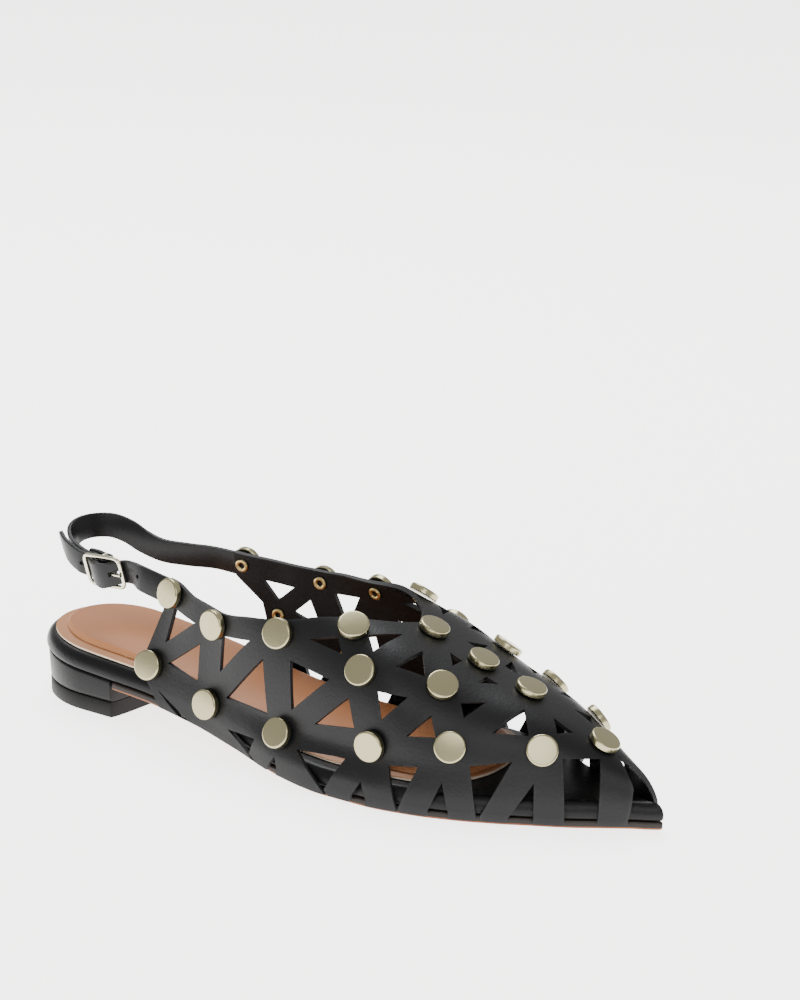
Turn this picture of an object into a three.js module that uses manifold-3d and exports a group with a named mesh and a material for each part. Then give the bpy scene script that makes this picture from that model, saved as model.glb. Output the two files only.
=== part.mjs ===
// Pointed slingback flat for the right foot: a leather upper cut into an open lattice and
// pinned with flat metal studs, on a thin sole with a low stacked heel. The heel strap
// closes with a small centre-bar buckle on the outer side.
// Millimetres. +X runs to the toe, +Y to the inner (big toe) side, +Z up, floor at Z = 0.
import * as THREE from "three";
import { mergeVertices } from "three/addons/utils/BufferGeometryUtils.js";
import Module from "manifold-3d";

// Sizes of the last
const FOOTBED_LENGTH = 261;
const BALL_WIDTH = 80.4;
const INSTEP_HEIGHT = 62;
const SHANK_LIFT = 13;
const TOE_SPRING = 1.5;
const TOE_SWING_DEG = 5.3;
const SWING_FROM = 0.3;
const SWING_TO = 0.8;

// Walls and gaps
const OUTSOLE_WALL = 3;
const FOOTBED_WALL = 6.4;
const UPPER_WALL = 1.8;
const SOCK_WALL = 0.9;
const PAD_WALL = 2.4;
const FIT_GAP = 0.3;
const FOOT_GAP = 0.55;

// Heel
const HEEL_LENGTH = 47.5;
const HEEL_ROUND = 31.3;
const TOP_PIECE_WALL = 6;
const TREAD_MIDDLE = 26;

// Studs
const STUD_RADIUS = 5.65;
const STUD_WALL = 2.4;
const STUD_BEVEL = 0.5;
const POST_RADIUS = 1.3;
const CAP_RADIUS = 2.6;
const CAP_WALL = 0.8;
const CAP_PLAY = 1.2;
const STUD_SIDES = 8;

// Heel strap and buckle; the buckle's own axes are along (u), up (v) and out (n)
const STRAP_WIDTH = 9.4;
const STRAP_WALL = 1.7;
const BUCKLE_LENGTH = 20;
const BUCKLE_HEIGHT = 13.4;
const BUCKLE_WIRE = 0.8;
const BUCKLE_CORNER = 2.4;
const BUCKLE_AT = { along: 0.1395, across: -0.522, rise: 0.874 };
const BUCKLE_YAW_DEG = -6.8;
const BUCKLE_PITCH_DEG = 7.1;
const BUCKLE_TILT_DEG = 14.1;
const BAR_WIRE = 0.6;
const BAR_DEPTH = 2.6;
const PRONG_WIRE = 0.6;

const RAD = Math.PI / 180;
const OUTER = -1;
const INNER = 1;

// The last, station by station from heel to toe. along: share of the footbed's length; outer and
// inner: half widths, shares of half the ball width; lift and spring: shares of the shank's lift and
// the toe spring; crown: share of the instep's height; square: how square the section is; lean: how far
// its side leans in; flare: how far it spreads over the footbed's edge, share of the upper's flare.
const UPPER_FLARE = 5;
const SECTIONS = [
  { along: 0, outer: 0.745, inner: 0.745, lift: 1.2, spring: 0,
    crown: 1.5, square: 3.0, lean: 0.5, flare: 0.0 },
  { along: 0.06, outer: 0.745, inner: 0.745, lift: 1.12, spring: 0,
    crown: 1.5, square: 3.0, lean: 0.5, flare: 0.0 },
  { along: 0.12, outer: 0.745, inner: 0.745, lift: 1.02, spring: 0,
    crown: 1.5, square: 3.0, lean: 0.5, flare: 0.0 },
  { along: 0.18, outer: 0.735, inner: 0.735, lift: 0.93, spring: 0,
    crown: 1.48, square: 3.0, lean: 0.45, flare: 0.1 },
  { along: 0.25, outer: 0.712, inner: 0.7, lift: 0.81, spring: 0,
    crown: 1.45, square: 3.0, lean: 0.33, flare: 0.24 },
  { along: 0.33, outer: 0.72, inner: 0.69, lift: 0.58, spring: 0,
    crown: 1.4, square: 3.0, lean: -0.05, flare: 0.4 },
  { along: 0.41, outer: 0.785, inner: 0.73, lift: 0.3, spring: 0,
    crown: 1.29, square: 3.0, lean: -0.22, flare: 0.6 },
  { along: 0.49, outer: 0.92, inner: 0.84, lift: 0.08, spring: 0,
    crown: 1.145, square: 3.1, lean: -0.06, flare: 0.9 },
  { along: 0.57, outer: 0.998, inner: 0.94, lift: 0, spring: 0,
    crown: 1.0, square: 3.6, lean: 0, flare: 1.0 },
  { along: 0.63, outer: 1.0, inner: 1.0, lift: 0, spring: 0,
    crown: 0.906, square: 3.8, lean: 0, flare: 0.9 },
  { along: 0.69, outer: 0.94, inner: 1.03, lift: 0, spring: 0,
    crown: 0.811, square: 3.0, lean: 0, flare: 0.52 },
  { along: 0.75, outer: 0.815, inner: 0.96, lift: 0, spring: 0,
    crown: 0.718, square: 2.7, lean: 0, flare: 0.32 },
  { along: 0.8, outer: 0.67, inner: 0.8, lift: 0, spring: 0,
    crown: 0.65, square: 2.8, lean: 0, flare: 0.24 },
  { along: 0.85, outer: 0.502, inner: 0.6, lift: 0, spring: 0,
    crown: 0.568, square: 3.0, lean: 0, flare: 0.2 },
  { along: 0.89, outer: 0.378, inner: 0.44, lift: 0, spring: 0.15,
    crown: 0.484, square: 2.9, lean: 0, flare: 0.16 },
  { along: 0.93, outer: 0.235, inner: 0.27, lift: 0, spring: 0.4,
    crown: 0.395, square: 2.7, lean: 0, flare: 0.1 },
  { along: 0.97, outer: 0.11, inner: 0.11, lift: 0, spring: 0.75,
    crown: 0.306, square: 2.5, lean: 0, flare: 0.04 },
  { along: 1.0, outer: 0.05, inner: 0.05, lift: 0, spring: 1,
    crown: 0.24, square: 2.5, lean: 0, flare: 0 },
];

// Where the studs sit. along: share of the footbed's length; rise: share of the way up the section from
// the sole's edge to the crown line. The inner side is a mirror, but for the studs with a place of its own.
const STUDS = {
  A1: { along: 0.272, rise: 0.467, inner: { along: 0.262, rise: 0.467 } },
  A2: { along: 0.363, rise: 0.426, inner: { along: 0.386, rise: 0.478 } },
  A3: { along: 0.471, rise: 0.537, inner: { along: 0.486, rise: 0.588 } },
  A4: { along: 0.569, rise: 0.709 },
  B1: { along: 0.249, rise: 0.139, inner: { along: 0.318, rise: 0.27 } },
  B2: { along: 0.359, rise: 0.096, inner: { along: 0.435, rise: 0.22 } },
  B3: { along: 0.491, rise: 0.15, inner: { along: 0.53, rise: 0.19 } },
  B4: { along: 0.636, rise: 0.254 },
  B5: { along: 0.739, rise: 0.372, inner: { along: 0.775, rise: 0.52 } },
  B6: { along: 0.847, rise: 0.54, inner: { along: 0.86, rise: 0.56 } },
  M1: { along: 0.604, rise: 0.548 },
  M2: { along: 0.705, rise: 0.653 },
  C1: { along: 0.64, rise: 1 },
  C2: { along: 0.718, rise: 1 },
  C3: { along: 0.792, rise: 1 },
  C4: { along: 0.904, rise: 1 },
};

// Three-cornered holes of the lattice: each lies between three studs, and ab, bc and ca are the
// leather left between the hole's edges and the lines that join the studs, in millimetres.
const HOLES = [
  { a: "A1", b: "A2", c: "B1", ab: 4.4, bc: 4.7, ca: 3.1 },
  { a: "A2", b: "B1", c: "B2", ab: 2.8, bc: 4.2, ca: 6.9 },
  { a: "A2", b: "A3", c: "B2", ab: 3.7, bc: 5.4, ca: 4.0 },
  { a: "A3", b: "B2", c: "B3", ab: 3.0, bc: 4.7, ca: 6.6 },
  { a: "A3", b: "M1", c: "B3", ab: 7.2, bc: 4.3, ca: 5.0 },
  { a: "A3", b: "A4", c: "M1", ab: 3.5, bc: 5.7, ca: 2.5 },
  { a: "A4", b: "C1", c: "M1", ab: 4.0, bc: 3.2, ca: 4.2 },
  { a: "M1", b: "B3", c: "B4", ab: 5.1, bc: 5.0, ca: 6.0 },
  { a: "M1", b: "M2", c: "B4", ab: 5.7, bc: 4.5, ca: 4.8 },
  { a: "C1", b: "M1", c: "M2", ab: 8.5, bc: 2.0, ca: 5.5 },
  { a: "C1", b: "C2", c: "M2", ab: 6.7, bc: 4.0, ca: 4.6 },
  { a: "M2", b: "B4", c: "B5", ab: 6.4, bc: 2.9, ca: 4.4 },
  { a: "M2", b: "C3", c: "B5", ab: 6.0, bc: 5.5, ca: 5.2 },
  { a: "C2", b: "M2", c: "C3", ab: 6.5, bc: 1.9, ca: 6.8 },
  { a: "C3", b: "B5", c: "B6", ab: 7.0, bc: 4.1, ca: 3.7 },
  { a: "C3", b: "B6", c: "C4", ab: 5.6, bc: 4.3, ca: 6.2 },
];

// Gaps between the legs that run down to the sole. back and front name the gap's upper corners, foot
// its lower ones (shares of the footbed's length), and the rises say how far up the corners are.
const LEG_GAPS = {
  both: [
    { back: 0.63, backRise: 0.084, front: 0.63, frontRise: 0.084, footBack: 0.616, footFront: 0.64 },
    { back: 0.845, backRise: 0.285, front: 0.845, frontRise: 0.285, footBack: 0.819, footFront: 0.849 },
    { back: 0.873, backRise: 0.555, front: 0.914, frontRise: 0.755, footBack: 0.886, footFront: 0.925 },
  ],
  outer: [
    { back: 0.266, backRise: 0.055, front: 0.266, frontRise: 0.055, footBack: 0.296, footFront: 0.312 },
    { back: 0.398, backRise: 0.045, front: 0.45, frontRise: 0.075, footBack: 0.434, footFront: 0.44 },
    { back: 0.49, backRise: 0.055, front: 0.49, frontRise: 0.055, footBack: 0.477, footFront: 0.495 },
    { back: 0.523, backRise: 0.122, front: 0.6, frontRise: 0.16, footBack: 0.57, footFront: 0.576 },
    { back: 0.663, backRise: 0.186, front: 0.703, frontRise: 0.22, footBack: 0.68, footFront: 0.685 },
    { back: 0.736, backRise: 0.172, front: 0.736, frontRise: 0.172, footBack: 0.722, footFront: 0.748 },
    { back: 0.766, backRise: 0.296, front: 0.816, frontRise: 0.393, footBack: 0.781, footFront: 0.786 },
  ],
  inner: [
    { back: 0.328, backRise: 0.12, front: 0.328, frontRise: 0.12, footBack: 0.324, footFront: 0.346 },
    { back: 0.352, backRise: 0.165, front: 0.404, frontRise: 0.14, footBack: 0.374, footFront: 0.38 },
    { back: 0.438, backRise: 0.09, front: 0.438, frontRise: 0.09, footBack: 0.424, footFront: 0.446 },
    { back: 0.463, backRise: 0.115, front: 0.502, frontRise: 0.105, footBack: 0.48, footFront: 0.486 },
    { back: 0.532, backRise: 0.07, front: 0.532, frontRise: 0.07, footBack: 0.52, footFront: 0.54 },
    { back: 0.56, backRise: 0.125, front: 0.602, frontRise: 0.15, footBack: 0.576, footFront: 0.582 },
    { back: 0.665, backRise: 0.186, front: 0.735, frontRise: 0.3, footBack: 0.687, footFront: 0.692 },
    { back: 0.765, backRise: 0.24, front: 0.765, frontRise: 0.24, footBack: 0.744, footFront: 0.768 },
    { back: 0.796, backRise: 0.36, front: 0.826, frontRise: 0.41, footBack: 0.79, footFront: 0.796 },
  ],
};

// The collar's edge on each side, from the seam of the heel strap to the throat.
const THROAT = 0.6205;
const COLLAR = {
  outer: [
    { along: 0.23, rise: 0.53 },
    { along: 0.272, rise: 0.521 },
    { along: 0.318, rise: 0.483 },
    { along: 0.363, rise: 0.478 },
    { along: 0.42, rise: 0.526 },
    { along: 0.471, rise: 0.594 },
    { along: 0.52, rise: 0.678 },
    { along: 0.569, rise: 0.772 },
    { along: 0.6, rise: 0.872 },
    { along: 0.614, rise: 0.955 },
    { along: THROAT, rise: 1 },
  ],
  inner: [
    { along: 0.23, rise: 0.53 },
    { along: 0.262, rise: 0.521 },
    { along: 0.32, rise: 0.508 },
    { along: 0.386, rise: 0.53 },
    { along: 0.435, rise: 0.576 },
    { along: 0.486, rise: 0.642 },
    { along: 0.53, rise: 0.71 },
    { along: 0.569, rise: 0.782 },
    { along: 0.6, rise: 0.872 },
    { along: 0.614, rise: 0.955 },
    { along: THROAT, rise: 1 },
  ],
};

// A smooth value read from a table's column, by monotone cubic pieces.
function reader(rows, key, column) {
  const x = rows.map((row) => row[key]);
  const y = rows.map((row) => row[column]);
  const last = x.length - 1;
  const slope = x.slice(1).map((value, i) => (y[i + 1] - y[i]) / (value - x[i]));
  const tangent = x.map((value, i) => {
    if (i === 0) return slope[0];
    if (i === last) return slope[last - 1];
    const before = slope[i - 1];
    const after = slope[i];
    return before * after <= 0 ? 0 : (2 * before * after) / (before + after);
  });
  return (at) => {
    if (at <= x[0]) return y[0];
    if (at >= x[last]) return y[last];
    const i = x.findIndex((value, k) => at >= value && at < x[k + 1]);
    const span = x[i + 1] - x[i];
    const t = (at - x[i]) / span;
    const eased = t * t * (3 - 2 * t);
    const bend = span * t * (1 - t) * ((1 - t) * tangent[i] - t * tangent[i + 1]);
    return y[i] + (y[i + 1] - y[i]) * eased + bend;
  };
}

const last = {};
for (const column of ["outer", "inner", "lift", "spring", "crown", "square", "lean", "flare"]) {
  last[column] = reader(SECTIONS, "along", column);
}
const collarRise = {
  outer: reader(COLLAR.outer, "along", "rise"),
  inner: reader(COLLAR.inner, "along", "rise"),
};
const sideName = (side) => (side === OUTER ? "outer" : "inner");

function smoothStep(value) {
  const t = Math.min(1, Math.max(0, value));
  return t * t * (3 - 2 * t);
}

// The spine runs straight from the heel, then swings to the inner side at the toe.
function spineAt(s) {
  const from = SWING_FROM * FOOTBED_LENGTH;
  const to = SWING_TO * FOOTBED_LENGTH;
  const radius = (to - from) / (TOE_SWING_DEG * RAD);
  if (s <= from) return { x: s, y: 0, heading: 0 };
  const heading = Math.min(s - from, to - from) / radius;
  const past = Math.max(0, s - to);
  return {
    x: from + radius * Math.sin(heading) + past * Math.cos(heading),
    y: radius * (1 - Math.cos(heading)) + past * Math.sin(heading),
    heading,
  };
}

function place(s, across, up) {
  const here = spineAt(s);
  return new THREE.Vector3(
    here.x - across * Math.sin(here.heading),
    here.y + across * Math.cos(here.heading),
    up,
  );
}

function soleTop(s) {
  const share = s / FOOTBED_LENGTH;
  return OUTSOLE_WALL + SHANK_LIFT * last.lift(share) + TOE_SPRING * last.spring(share);
}

function footbedTop(s) {
  return soleTop(s) + FIT_GAP + FOOTBED_WALL;
}

function halfWidth(s, side) {
  const share = s / FOOTBED_LENGTH;
  return (BALL_WIDTH / 2) * (side === OUTER ? last.outer(share) : last.inner(share));
}

// One side of the upper's outer face at a station, as a line from the sole's edge to the crown.
const FLARE_FOOT = 3.5;
const FLARE_REACH = 14;
const SECTION_STEPS = 48;
const sectionsMade = new Map();

function sectionAt(s, side) {
  const key = `${side}:${s.toFixed(4)}`;
  if (sectionsMade.has(key)) return sectionsMade.get(key);
  const share = s / FOOTBED_LENGTH;
  const foot = soleTop(s) + FOOT_GAP;
  const height = INSTEP_HEIGHT * last.crown(share) - foot;
  const edge = halfWidth(s, side) + FIT_GAP + UPPER_WALL;
  const flare = UPPER_FLARE * last.flare(share);
  const power = 2 / last.square(share);
  const line = [];
  for (let i = 0; i <= SECTION_STEPS; i += 1) {
    const angle = ((i / SECTION_STEPS) * Math.PI) / 2;
    const up = Math.sin(angle) ** power;
    const out = i === SECTION_STEPS ? 0 : Math.cos(angle) ** power;
    const body = edge - flare * smoothStep((up * height - FLARE_FOOT) / FLARE_REACH);
    line.push(new THREE.Vector2(body * out * (1 - last.lean(share) * up), foot + up * height));
  }
  const reach = [0];
  for (let i = 1; i <= SECTION_STEPS; i += 1) {
    reach.push(reach[i - 1] + line[i].distanceTo(line[i - 1]));
  }
  const made = { line, reach };
  sectionsMade.set(key, made);
  return made;
}

// A point of the upper's outer face; rises past 1 run down the other side.
function faceAt(s, side, rise) {
  if (rise > 1) return faceAt(s, -side, 2 - rise);
  const { line, reach } = sectionAt(s, side);
  const target = rise * reach[SECTION_STEPS];
  let i = 0;
  while (i < SECTION_STEPS - 1 && reach[i + 1] < target) i += 1;
  const t = (target - reach[i]) / (reach[i + 1] - reach[i]);
  const point = line[i].clone().lerp(line[i + 1], t);
  return place(s, side * point.x, point.y);
}

function outwardAt(s, side, rise) {
  const stepAlong = 0.5;
  const stepRise = 0.012;
  const ahead = faceAt(s + stepAlong, side, rise).sub(faceAt(s - stepAlong, side, rise));
  const above = faceAt(s, side, rise + stepRise).sub(faceAt(s, side, Math.max(0, rise - stepRise)));
  return ahead.cross(above).multiplyScalar(-side).normalize();
}

// A point of the upper's wall, some way out of its outer face (or into it, when negative).
function wallAt(s, side, rise, out) {
  return faceAt(s, side, rise).addScaledVector(outwardAt(s, side, rise), out);
}

// Closed bodies from points and triangles, with repeated points joined and flat triangles dropped.
const JOIN_DISTANCE = 1e-4;

function bodyFrom(points, triangles) {
  const flat = new THREE.BufferGeometry();
  const positions = triangles.flat().flatMap((index) => points[index].toArray());
  flat.setAttribute("position", new THREE.Float32BufferAttribute(positions, 3));
  const joined = mergeVertices(flat, JOIN_DISTANCE);
  const index = joined.getIndex().array;
  const kept = [];
  for (let i = 0; i < index.length; i += 3) {
    const [a, b, c] = [index[i], index[i + 1], index[i + 2]];
    if (a !== b && b !== c && c !== a) kept.push(a, b, c);
  }
  joined.setIndex(kept);
  return joined;
}

// Rings of points, each as long as the next, joined into a closed body with fan ends.
function loftRings(rings) {
  const points = rings.flat();
  const count = rings[0].length;
  const triangles = [];
  for (let r = 0; r < rings.length - 1; r += 1) {
    for (let i = 0; i < count; i += 1) {
      const a = r * count + i;
      const b = r * count + ((i + 1) % count);
      triangles.push([a, b, b + count], [a, b + count, a + count]);
    }
  }
  const lastRing = (rings.length - 1) * count;
  for (let i = 1; i < count - 1; i += 1) {
    triangles.push([0, i + 1, i], [lastRing, lastRing + i, lastRing + i + 1]);
  }
  return bodyFrom(points, triangles);
}

// A ring of points round Z.
function ringAt(radius, height, sides) {
  return Array.from({ length: sides }, (_, i) => {
    const angle = (i / sides) * 2 * Math.PI;
    return new THREE.Vector3(radius * Math.cos(angle), radius * Math.sin(angle), height);
  });
}

// Levels of a flat piece: each is a list of stations with an outer and an inner point. The walls
// join the levels, and strips between the two sides close the bottom and the top.
function stackLevels(levels) {
  const stations = levels[0].length;
  const count = stations * 2;
  const points = [];
  for (const level of levels) {
    for (const station of level) points.push(station.outer);
    for (const station of [...level].reverse()) points.push(station.inner);
  }
  const triangles = [];
  for (let k = 0; k < levels.length - 1; k += 1) {
    for (let i = 0; i < count; i += 1) {
      const a = k * count + i;
      const b = k * count + ((i + 1) % count);
      triangles.push([a, b, b + count], [a, b + count, a + count]);
    }
  }
  const top = (levels.length - 1) * count;
  for (let i = 0; i < stations - 1; i += 1) {
    const across = count - 1 - i;
    triangles.push([i, across, i + 1], [i + 1, across, across - 1]);
    triangles.push([top + i, top + i + 1, top + across], [top + i + 1, top + across - 1, top + across]);
  }
  return bodyFrom(points, triangles);
}

// Manifold solids, for cuts and joins.
const wasm = await Module();
wasm.setup();

function toSolid(geometry) {
  const bare = geometry.clone();
  bare.deleteAttribute("normal");
  bare.deleteAttribute("uv");
  const joined = mergeVertices(bare, JOIN_DISTANCE);
  return new wasm.Manifold(new wasm.Mesh({
    numProp: 3,
    vertProperties: new Float32Array(joined.getAttribute("position").array),
    triVerts: new Uint32Array(joined.getIndex().array),
  }));
}

function toGeometry(solid) {
  const mesh = solid.getMesh();
  const geometry = new THREE.BufferGeometry();
  geometry.setAttribute("position", new THREE.BufferAttribute(new Float32Array(mesh.vertProperties), 3));
  geometry.setIndex(Array.from(mesh.triVerts));
  return geometry;
}

function cutBy(geometry, cutters) {
  return toGeometry(cutters.reduce((body, cutter) => body.subtract(toSolid(cutter)), toSolid(geometry)));
}

// A flat outline pushed both ways through its own plane; the corners run round the outline.
function prismThrough(corners, inward, outward) {
  const normal = new THREE.Vector3();
  for (let i = 1; i < corners.length - 1; i += 1) {
    const first = corners[i].clone().sub(corners[0]);
    const second = corners[i + 1].clone().sub(corners[0]);
    normal.add(first.cross(second));
  }
  normal.normalize();
  const right = corners[1].clone().sub(corners[0]).normalize();
  right.addScaledVector(normal, -right.dot(normal)).normalize();
  const up = normal.clone().cross(right);
  const flat = corners.map((corner) => {
    const from = corner.clone().sub(corners[0]);
    return new THREE.Vector2(from.dot(right), from.dot(up));
  });
  const depth = inward + outward;
  const prism = new THREE.ExtrudeGeometry(new THREE.Shape(flat), { depth, bevelEnabled: false });
  prism.translate(0, 0, -inward);
  prism.applyMatrix4(new THREE.Matrix4().makeBasis(right, up, normal).setPosition(corners[0]));
  return prism;
}

// The plan outline of the footbed, drawn in by some millimetres, between two stations.
const TOE_ROUND = 6;
const ROUND_STEPS = 7;
const LENGTH_STEPS = 14;

function planStations(inset, range = {}) {
  const { from = 0, to = FOOTBED_LENGTH, frontRound = TOE_ROUND, steps = LENGTH_STEPS } = range;
  const stations = [];
  const roundBack = from === 0;
  const back = roundBack ? inset : from;
  const front = to === FOOTBED_LENGTH ? to - inset : to;
  const bodyFromS = roundBack ? HEEL_ROUND : from;
  const bodyToS = front - frontRound;
  if (roundBack) {
    for (let i = 0; i < ROUND_STEPS; i += 1) {
      const angle = (((i + 0.35) / (ROUND_STEPS + 0.35)) * Math.PI) / 2;
      stations.push({ s: HEEL_ROUND - (HEEL_ROUND - back) * Math.cos(angle), share: Math.sin(angle) });
    }
  }
  for (let i = 0; i <= steps; i += 1) {
    stations.push({ s: bodyFromS + ((bodyToS - bodyFromS) * i) / steps, share: 1 });
  }
  if (frontRound > 0) {
    for (let i = ROUND_STEPS - 3; i >= 0; i -= 1) {
      const angle = (((i + 0.35) / (ROUND_STEPS - 1.65)) * Math.PI) / 2;
      stations.push({ s: bodyToS + frontRound * Math.cos(angle), share: Math.sin(angle) });
    }
  }
  return stations;
}

// One level of a flat piece: the outline drawn in by inset (and out by spread), at a height.
function planLevel(inset, height, options = {}) {
  const { spread = () => 0, ...range } = options;
  return planStations(inset, range).map(({ s, share }) => {
    const reachOf = (side) => Math.max(0.2, (halfWidth(s, side) - inset + spread(s)) * share);
    return {
      outer: place(s, OUTER * reachOf(OUTER), height(s)),
      inner: place(s, INNER * reachOf(INNER), height(s)),
    };
  });
}

const OUTSOLE_INSET = 0.5;

// Outsole: thin leather from the heel's breast to the toe; the legs of the upper reach down beside it.
function outsole() {
  const range = { from: HEEL_LENGTH + FIT_GAP };
  const edgeRound = 0.5;
  return stackLevels([
    planLevel(OUTSOLE_INSET + edgeRound, (s) => soleTop(s) - OUTSOLE_WALL, range),
    planLevel(OUTSOLE_INSET, (s) => soleTop(s) - OUTSOLE_WALL + edgeRound, range),
    planLevel(OUTSOLE_INSET, soleTop, range),
  ]);
}

// Footbed: a board wrapped in leather, with a rounded edge all round.
function footbed() {
  const edge = [
    { inset: 1.6, up: 0 },
    { inset: 0.5, up: 0.14 },
    { inset: 0.5, up: 0.42 },
    { inset: 1.6, up: 0.8 },
    { inset: 3.8, up: 1 },
  ];
  return stackLevels(edge.map(({ inset, up }) => {
    return planLevel(inset, (s) => soleTop(s) + FIT_GAP + FOOTBED_WALL * up);
  }));
}

// Insole sock and the pad on it: both end before the toe, and draw in at the ball.
const SOCK_END = 200;
const SOCK_INSET = 3.8;
const PAD_INSET = 8.2;
const BALL_DRAW = 4;

function insole(inset, bottom, wall, bevel) {
  const end = SOCK_END - inset / 2;
  const draw = (s) => -BALL_DRAW * smoothStep((s / FOOTBED_LENGTH - 0.42) / 0.14);
  const range = { to: end, frontRound: 16, spread: draw };
  const height = (up) => (s) => footbedTop(s) + bottom + up;
  return stackLevels([
    planLevel(inset, height(0), range),
    planLevel(inset, height(wall - bevel), range),
    planLevel(inset + bevel, height(wall), range),
  ]);
}

// Heel block and top piece, drawn in a little towards the floor, with a flat breast.
function heelLevel(inset, height) {
  const range = { from: 0, to: HEEL_LENGTH, frontRound: 2, steps: 4 };
  return planLevel(inset, height, range);
}

function heelBlock() {
  const foot = TOP_PIECE_WALL + FIT_GAP;
  return stackLevels([
    heelLevel(2.4, () => foot),
    heelLevel(2.1, () => foot + 0.5),
    heelLevel(1.1, (s) => soleTop(s) - 0.7),
    heelLevel(2.0, (s) => soleTop(s)),
  ]);
}

function topPiece() {
  return stackLevels([
    heelLevel(2.9, () => 0),
    heelLevel(2.4, () => 0.6),
    heelLevel(2.2, () => TOP_PIECE_WALL - 0.3),
    heelLevel(2.5, () => TOP_PIECE_WALL),
  ]);
}

// The upper: one wall from the sole's edge over the crown, open at the collar and at the toe.
const LEG_DROP = 1.2;
const UPPER_BACK = 60;
const SEAM_BACK = 3;
const TOE_EDGE = [
  { rise: 0, outer: 0.96, inner: 0.982 },
  { rise: 0.3, outer: 0.963, inner: 0.98 },
  { rise: 0.6, outer: 0.962, inner: 0.97 },
  { rise: 0.85, outer: 0.945, inner: 0.946 },
  { rise: 1, outer: 0.925, inner: 0.925 },
];
const toeEdge = { outer: reader(TOE_EDGE, "rise", "outer"), inner: reader(TOE_EDGE, "rise", "inner") };
const BACK_STATIONS = 13;
const FRONT_STATIONS = 7;
const ROWS = 8;

function upperStations() {
  const throat = THROAT * FOOTBED_LENGTH;
  const stations = [];
  for (let i = 0; i < BACK_STATIONS; i += 1) {
    const t = i / BACK_STATIONS;
    const s = UPPER_BACK + (throat - UPPER_BACK) * (0.5 * t + 0.5 * Math.sin((t * Math.PI) / 2));
    const top = (side) => collarRise[sideName(side)](s / FOOTBED_LENGTH);
    stations.push({ at: () => s, top, open: true });
  }
  for (let i = 0; i <= FRONT_STATIONS; i += 1) {
    const t = i / FRONT_STATIONS;
    const at = (rise, side) => {
      return throat + (toeEdge[sideName(side)](rise) * FOOTBED_LENGTH - throat) * t;
    };
    stations.push({ at, top: () => 1, open: false });
  }
  return stations;
}

function upperShell() {
  const stations = upperStations();
  const columns = 2 * (ROWS + 1);
  const points = [];
  for (const out of [0, -UPPER_WALL]) {
    for (const { at, top } of stations) {
      const pointAt = (side, j) => {
        const rise = (top(side) * j) / ROWS;
        const s = at(rise, side);
        const point = wallAt(s, rise === 1 ? OUTER : side, rise, out);
        return j === 0 ? point.setZ(soleTop(s) - LEG_DROP) : point;
      };
      for (let j = 0; j <= ROWS; j += 1) points.push(pointAt(OUTER, j));
      for (let j = ROWS; j >= 0; j -= 1) points.push(pointAt(INNER, j));
    }
  }
  const layer = stations.length * columns;
  const triangles = [];
  const quad = (a, b, c, d) => triangles.push([a, b, c], [a, c, d]);
  for (let i = 0; i < stations.length - 1; i += 1) {
    for (let j = 0; j < columns - 1; j += 1) {
      if (j === ROWS) continue;
      const a = i * columns + j;
      const b = a + columns;
      quad(a, b, b + 1, a + 1);
      quad(layer + a, layer + a + 1, layer + b + 1, layer + b);
    }
    const foot = i * columns;
    quad(foot, layer + foot, layer + foot + columns, foot + columns);
    const far = foot + columns - 1;
    quad(far, far + columns, layer + far + columns, layer + far);
    if (stations[i].open) {
      const edge = foot + ROWS;
      quad(edge, edge + columns, layer + edge + columns, layer + edge);
      quad(edge + 1, layer + edge + 1, layer + edge + 1 + columns, edge + 1 + columns);
    }
  }
  for (const i of [0, stations.length - 1]) {
    for (let j = 0; j < columns - 1; j += 1) {
      if (j === ROWS) continue;
      const a = i * columns + j;
      if (i === 0) quad(a, a + 1, layer + a + 1, layer + a);
      else quad(a, layer + a, layer + a + 1, a + 1);
    }
  }
  return bodyFrom(points, triangles);
}

function studSpot(name, side) {
  const spot = STUDS[name];
  const { along, rise } = side === INNER && spot.inner ? spot.inner : spot;
  return { s: along * FOOTBED_LENGTH, rise };
}

function studPoint(name, side) {
  const { s, rise } = studSpot(name, side);
  return faceAt(s, side, rise);
}

const CUT_IN = 9;
const CUT_OUT = 13;

// A hole between three studs: its edges lie in from the studs' lines by the leather that is left.
function holeCutter({ a, b, c, ab, bc, ca }, side) {
  const corners = [a, b, c].map((name) => studPoint(name, side));
  const margins = [ab, bc, ca];
  const first = corners[1].clone().sub(corners[0]);
  const normal = first.clone().cross(corners[2].clone().sub(corners[0])).normalize();
  const right = first.clone().normalize();
  const up = normal.clone().cross(right);
  const flat = corners.map((corner) => {
    const from = corner.clone().sub(corners[0]);
    return new THREE.Vector2(from.dot(right), from.dot(up));
  });
  const edges = flat.map((start, i) => {
    const along = flat[(i + 1) % 3].clone().sub(start).normalize();
    const inward = new THREE.Vector2(-along.y, along.x);
    return { start: start.clone().addScaledVector(inward, margins[i]), along };
  });
  const inner = edges.map((edge, i) => {
    const before = edges[(i + 2) % 3];
    const gap = edge.start.clone().sub(before.start);
    const t = gap.cross(edge.along) / before.along.cross(edge.along);
    return before.start.clone().addScaledVector(before.along, t);
  });
  const hole = inner.map((point) => {
    return corners[0].clone().addScaledVector(right, point.x).addScaledVector(up, point.y);
  });
  return outwardPrism(hole, side);
}

// A prism through the wall, with its outline turned to face out of the shoe.
function outwardPrism(outline, side) {
  const turn = outline[1].clone().sub(outline[0]).cross(outline[2].clone().sub(outline[1]));
  const facesOut = turn.dot(new THREE.Vector3(0, side, 0.8)) > 0;
  return prismThrough(facesOut ? outline : [...outline].reverse(), CUT_IN, CUT_OUT);
}

// A gap between two legs, open at the sole's edge.
const FOOT_OVERCUT = 4;

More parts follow.
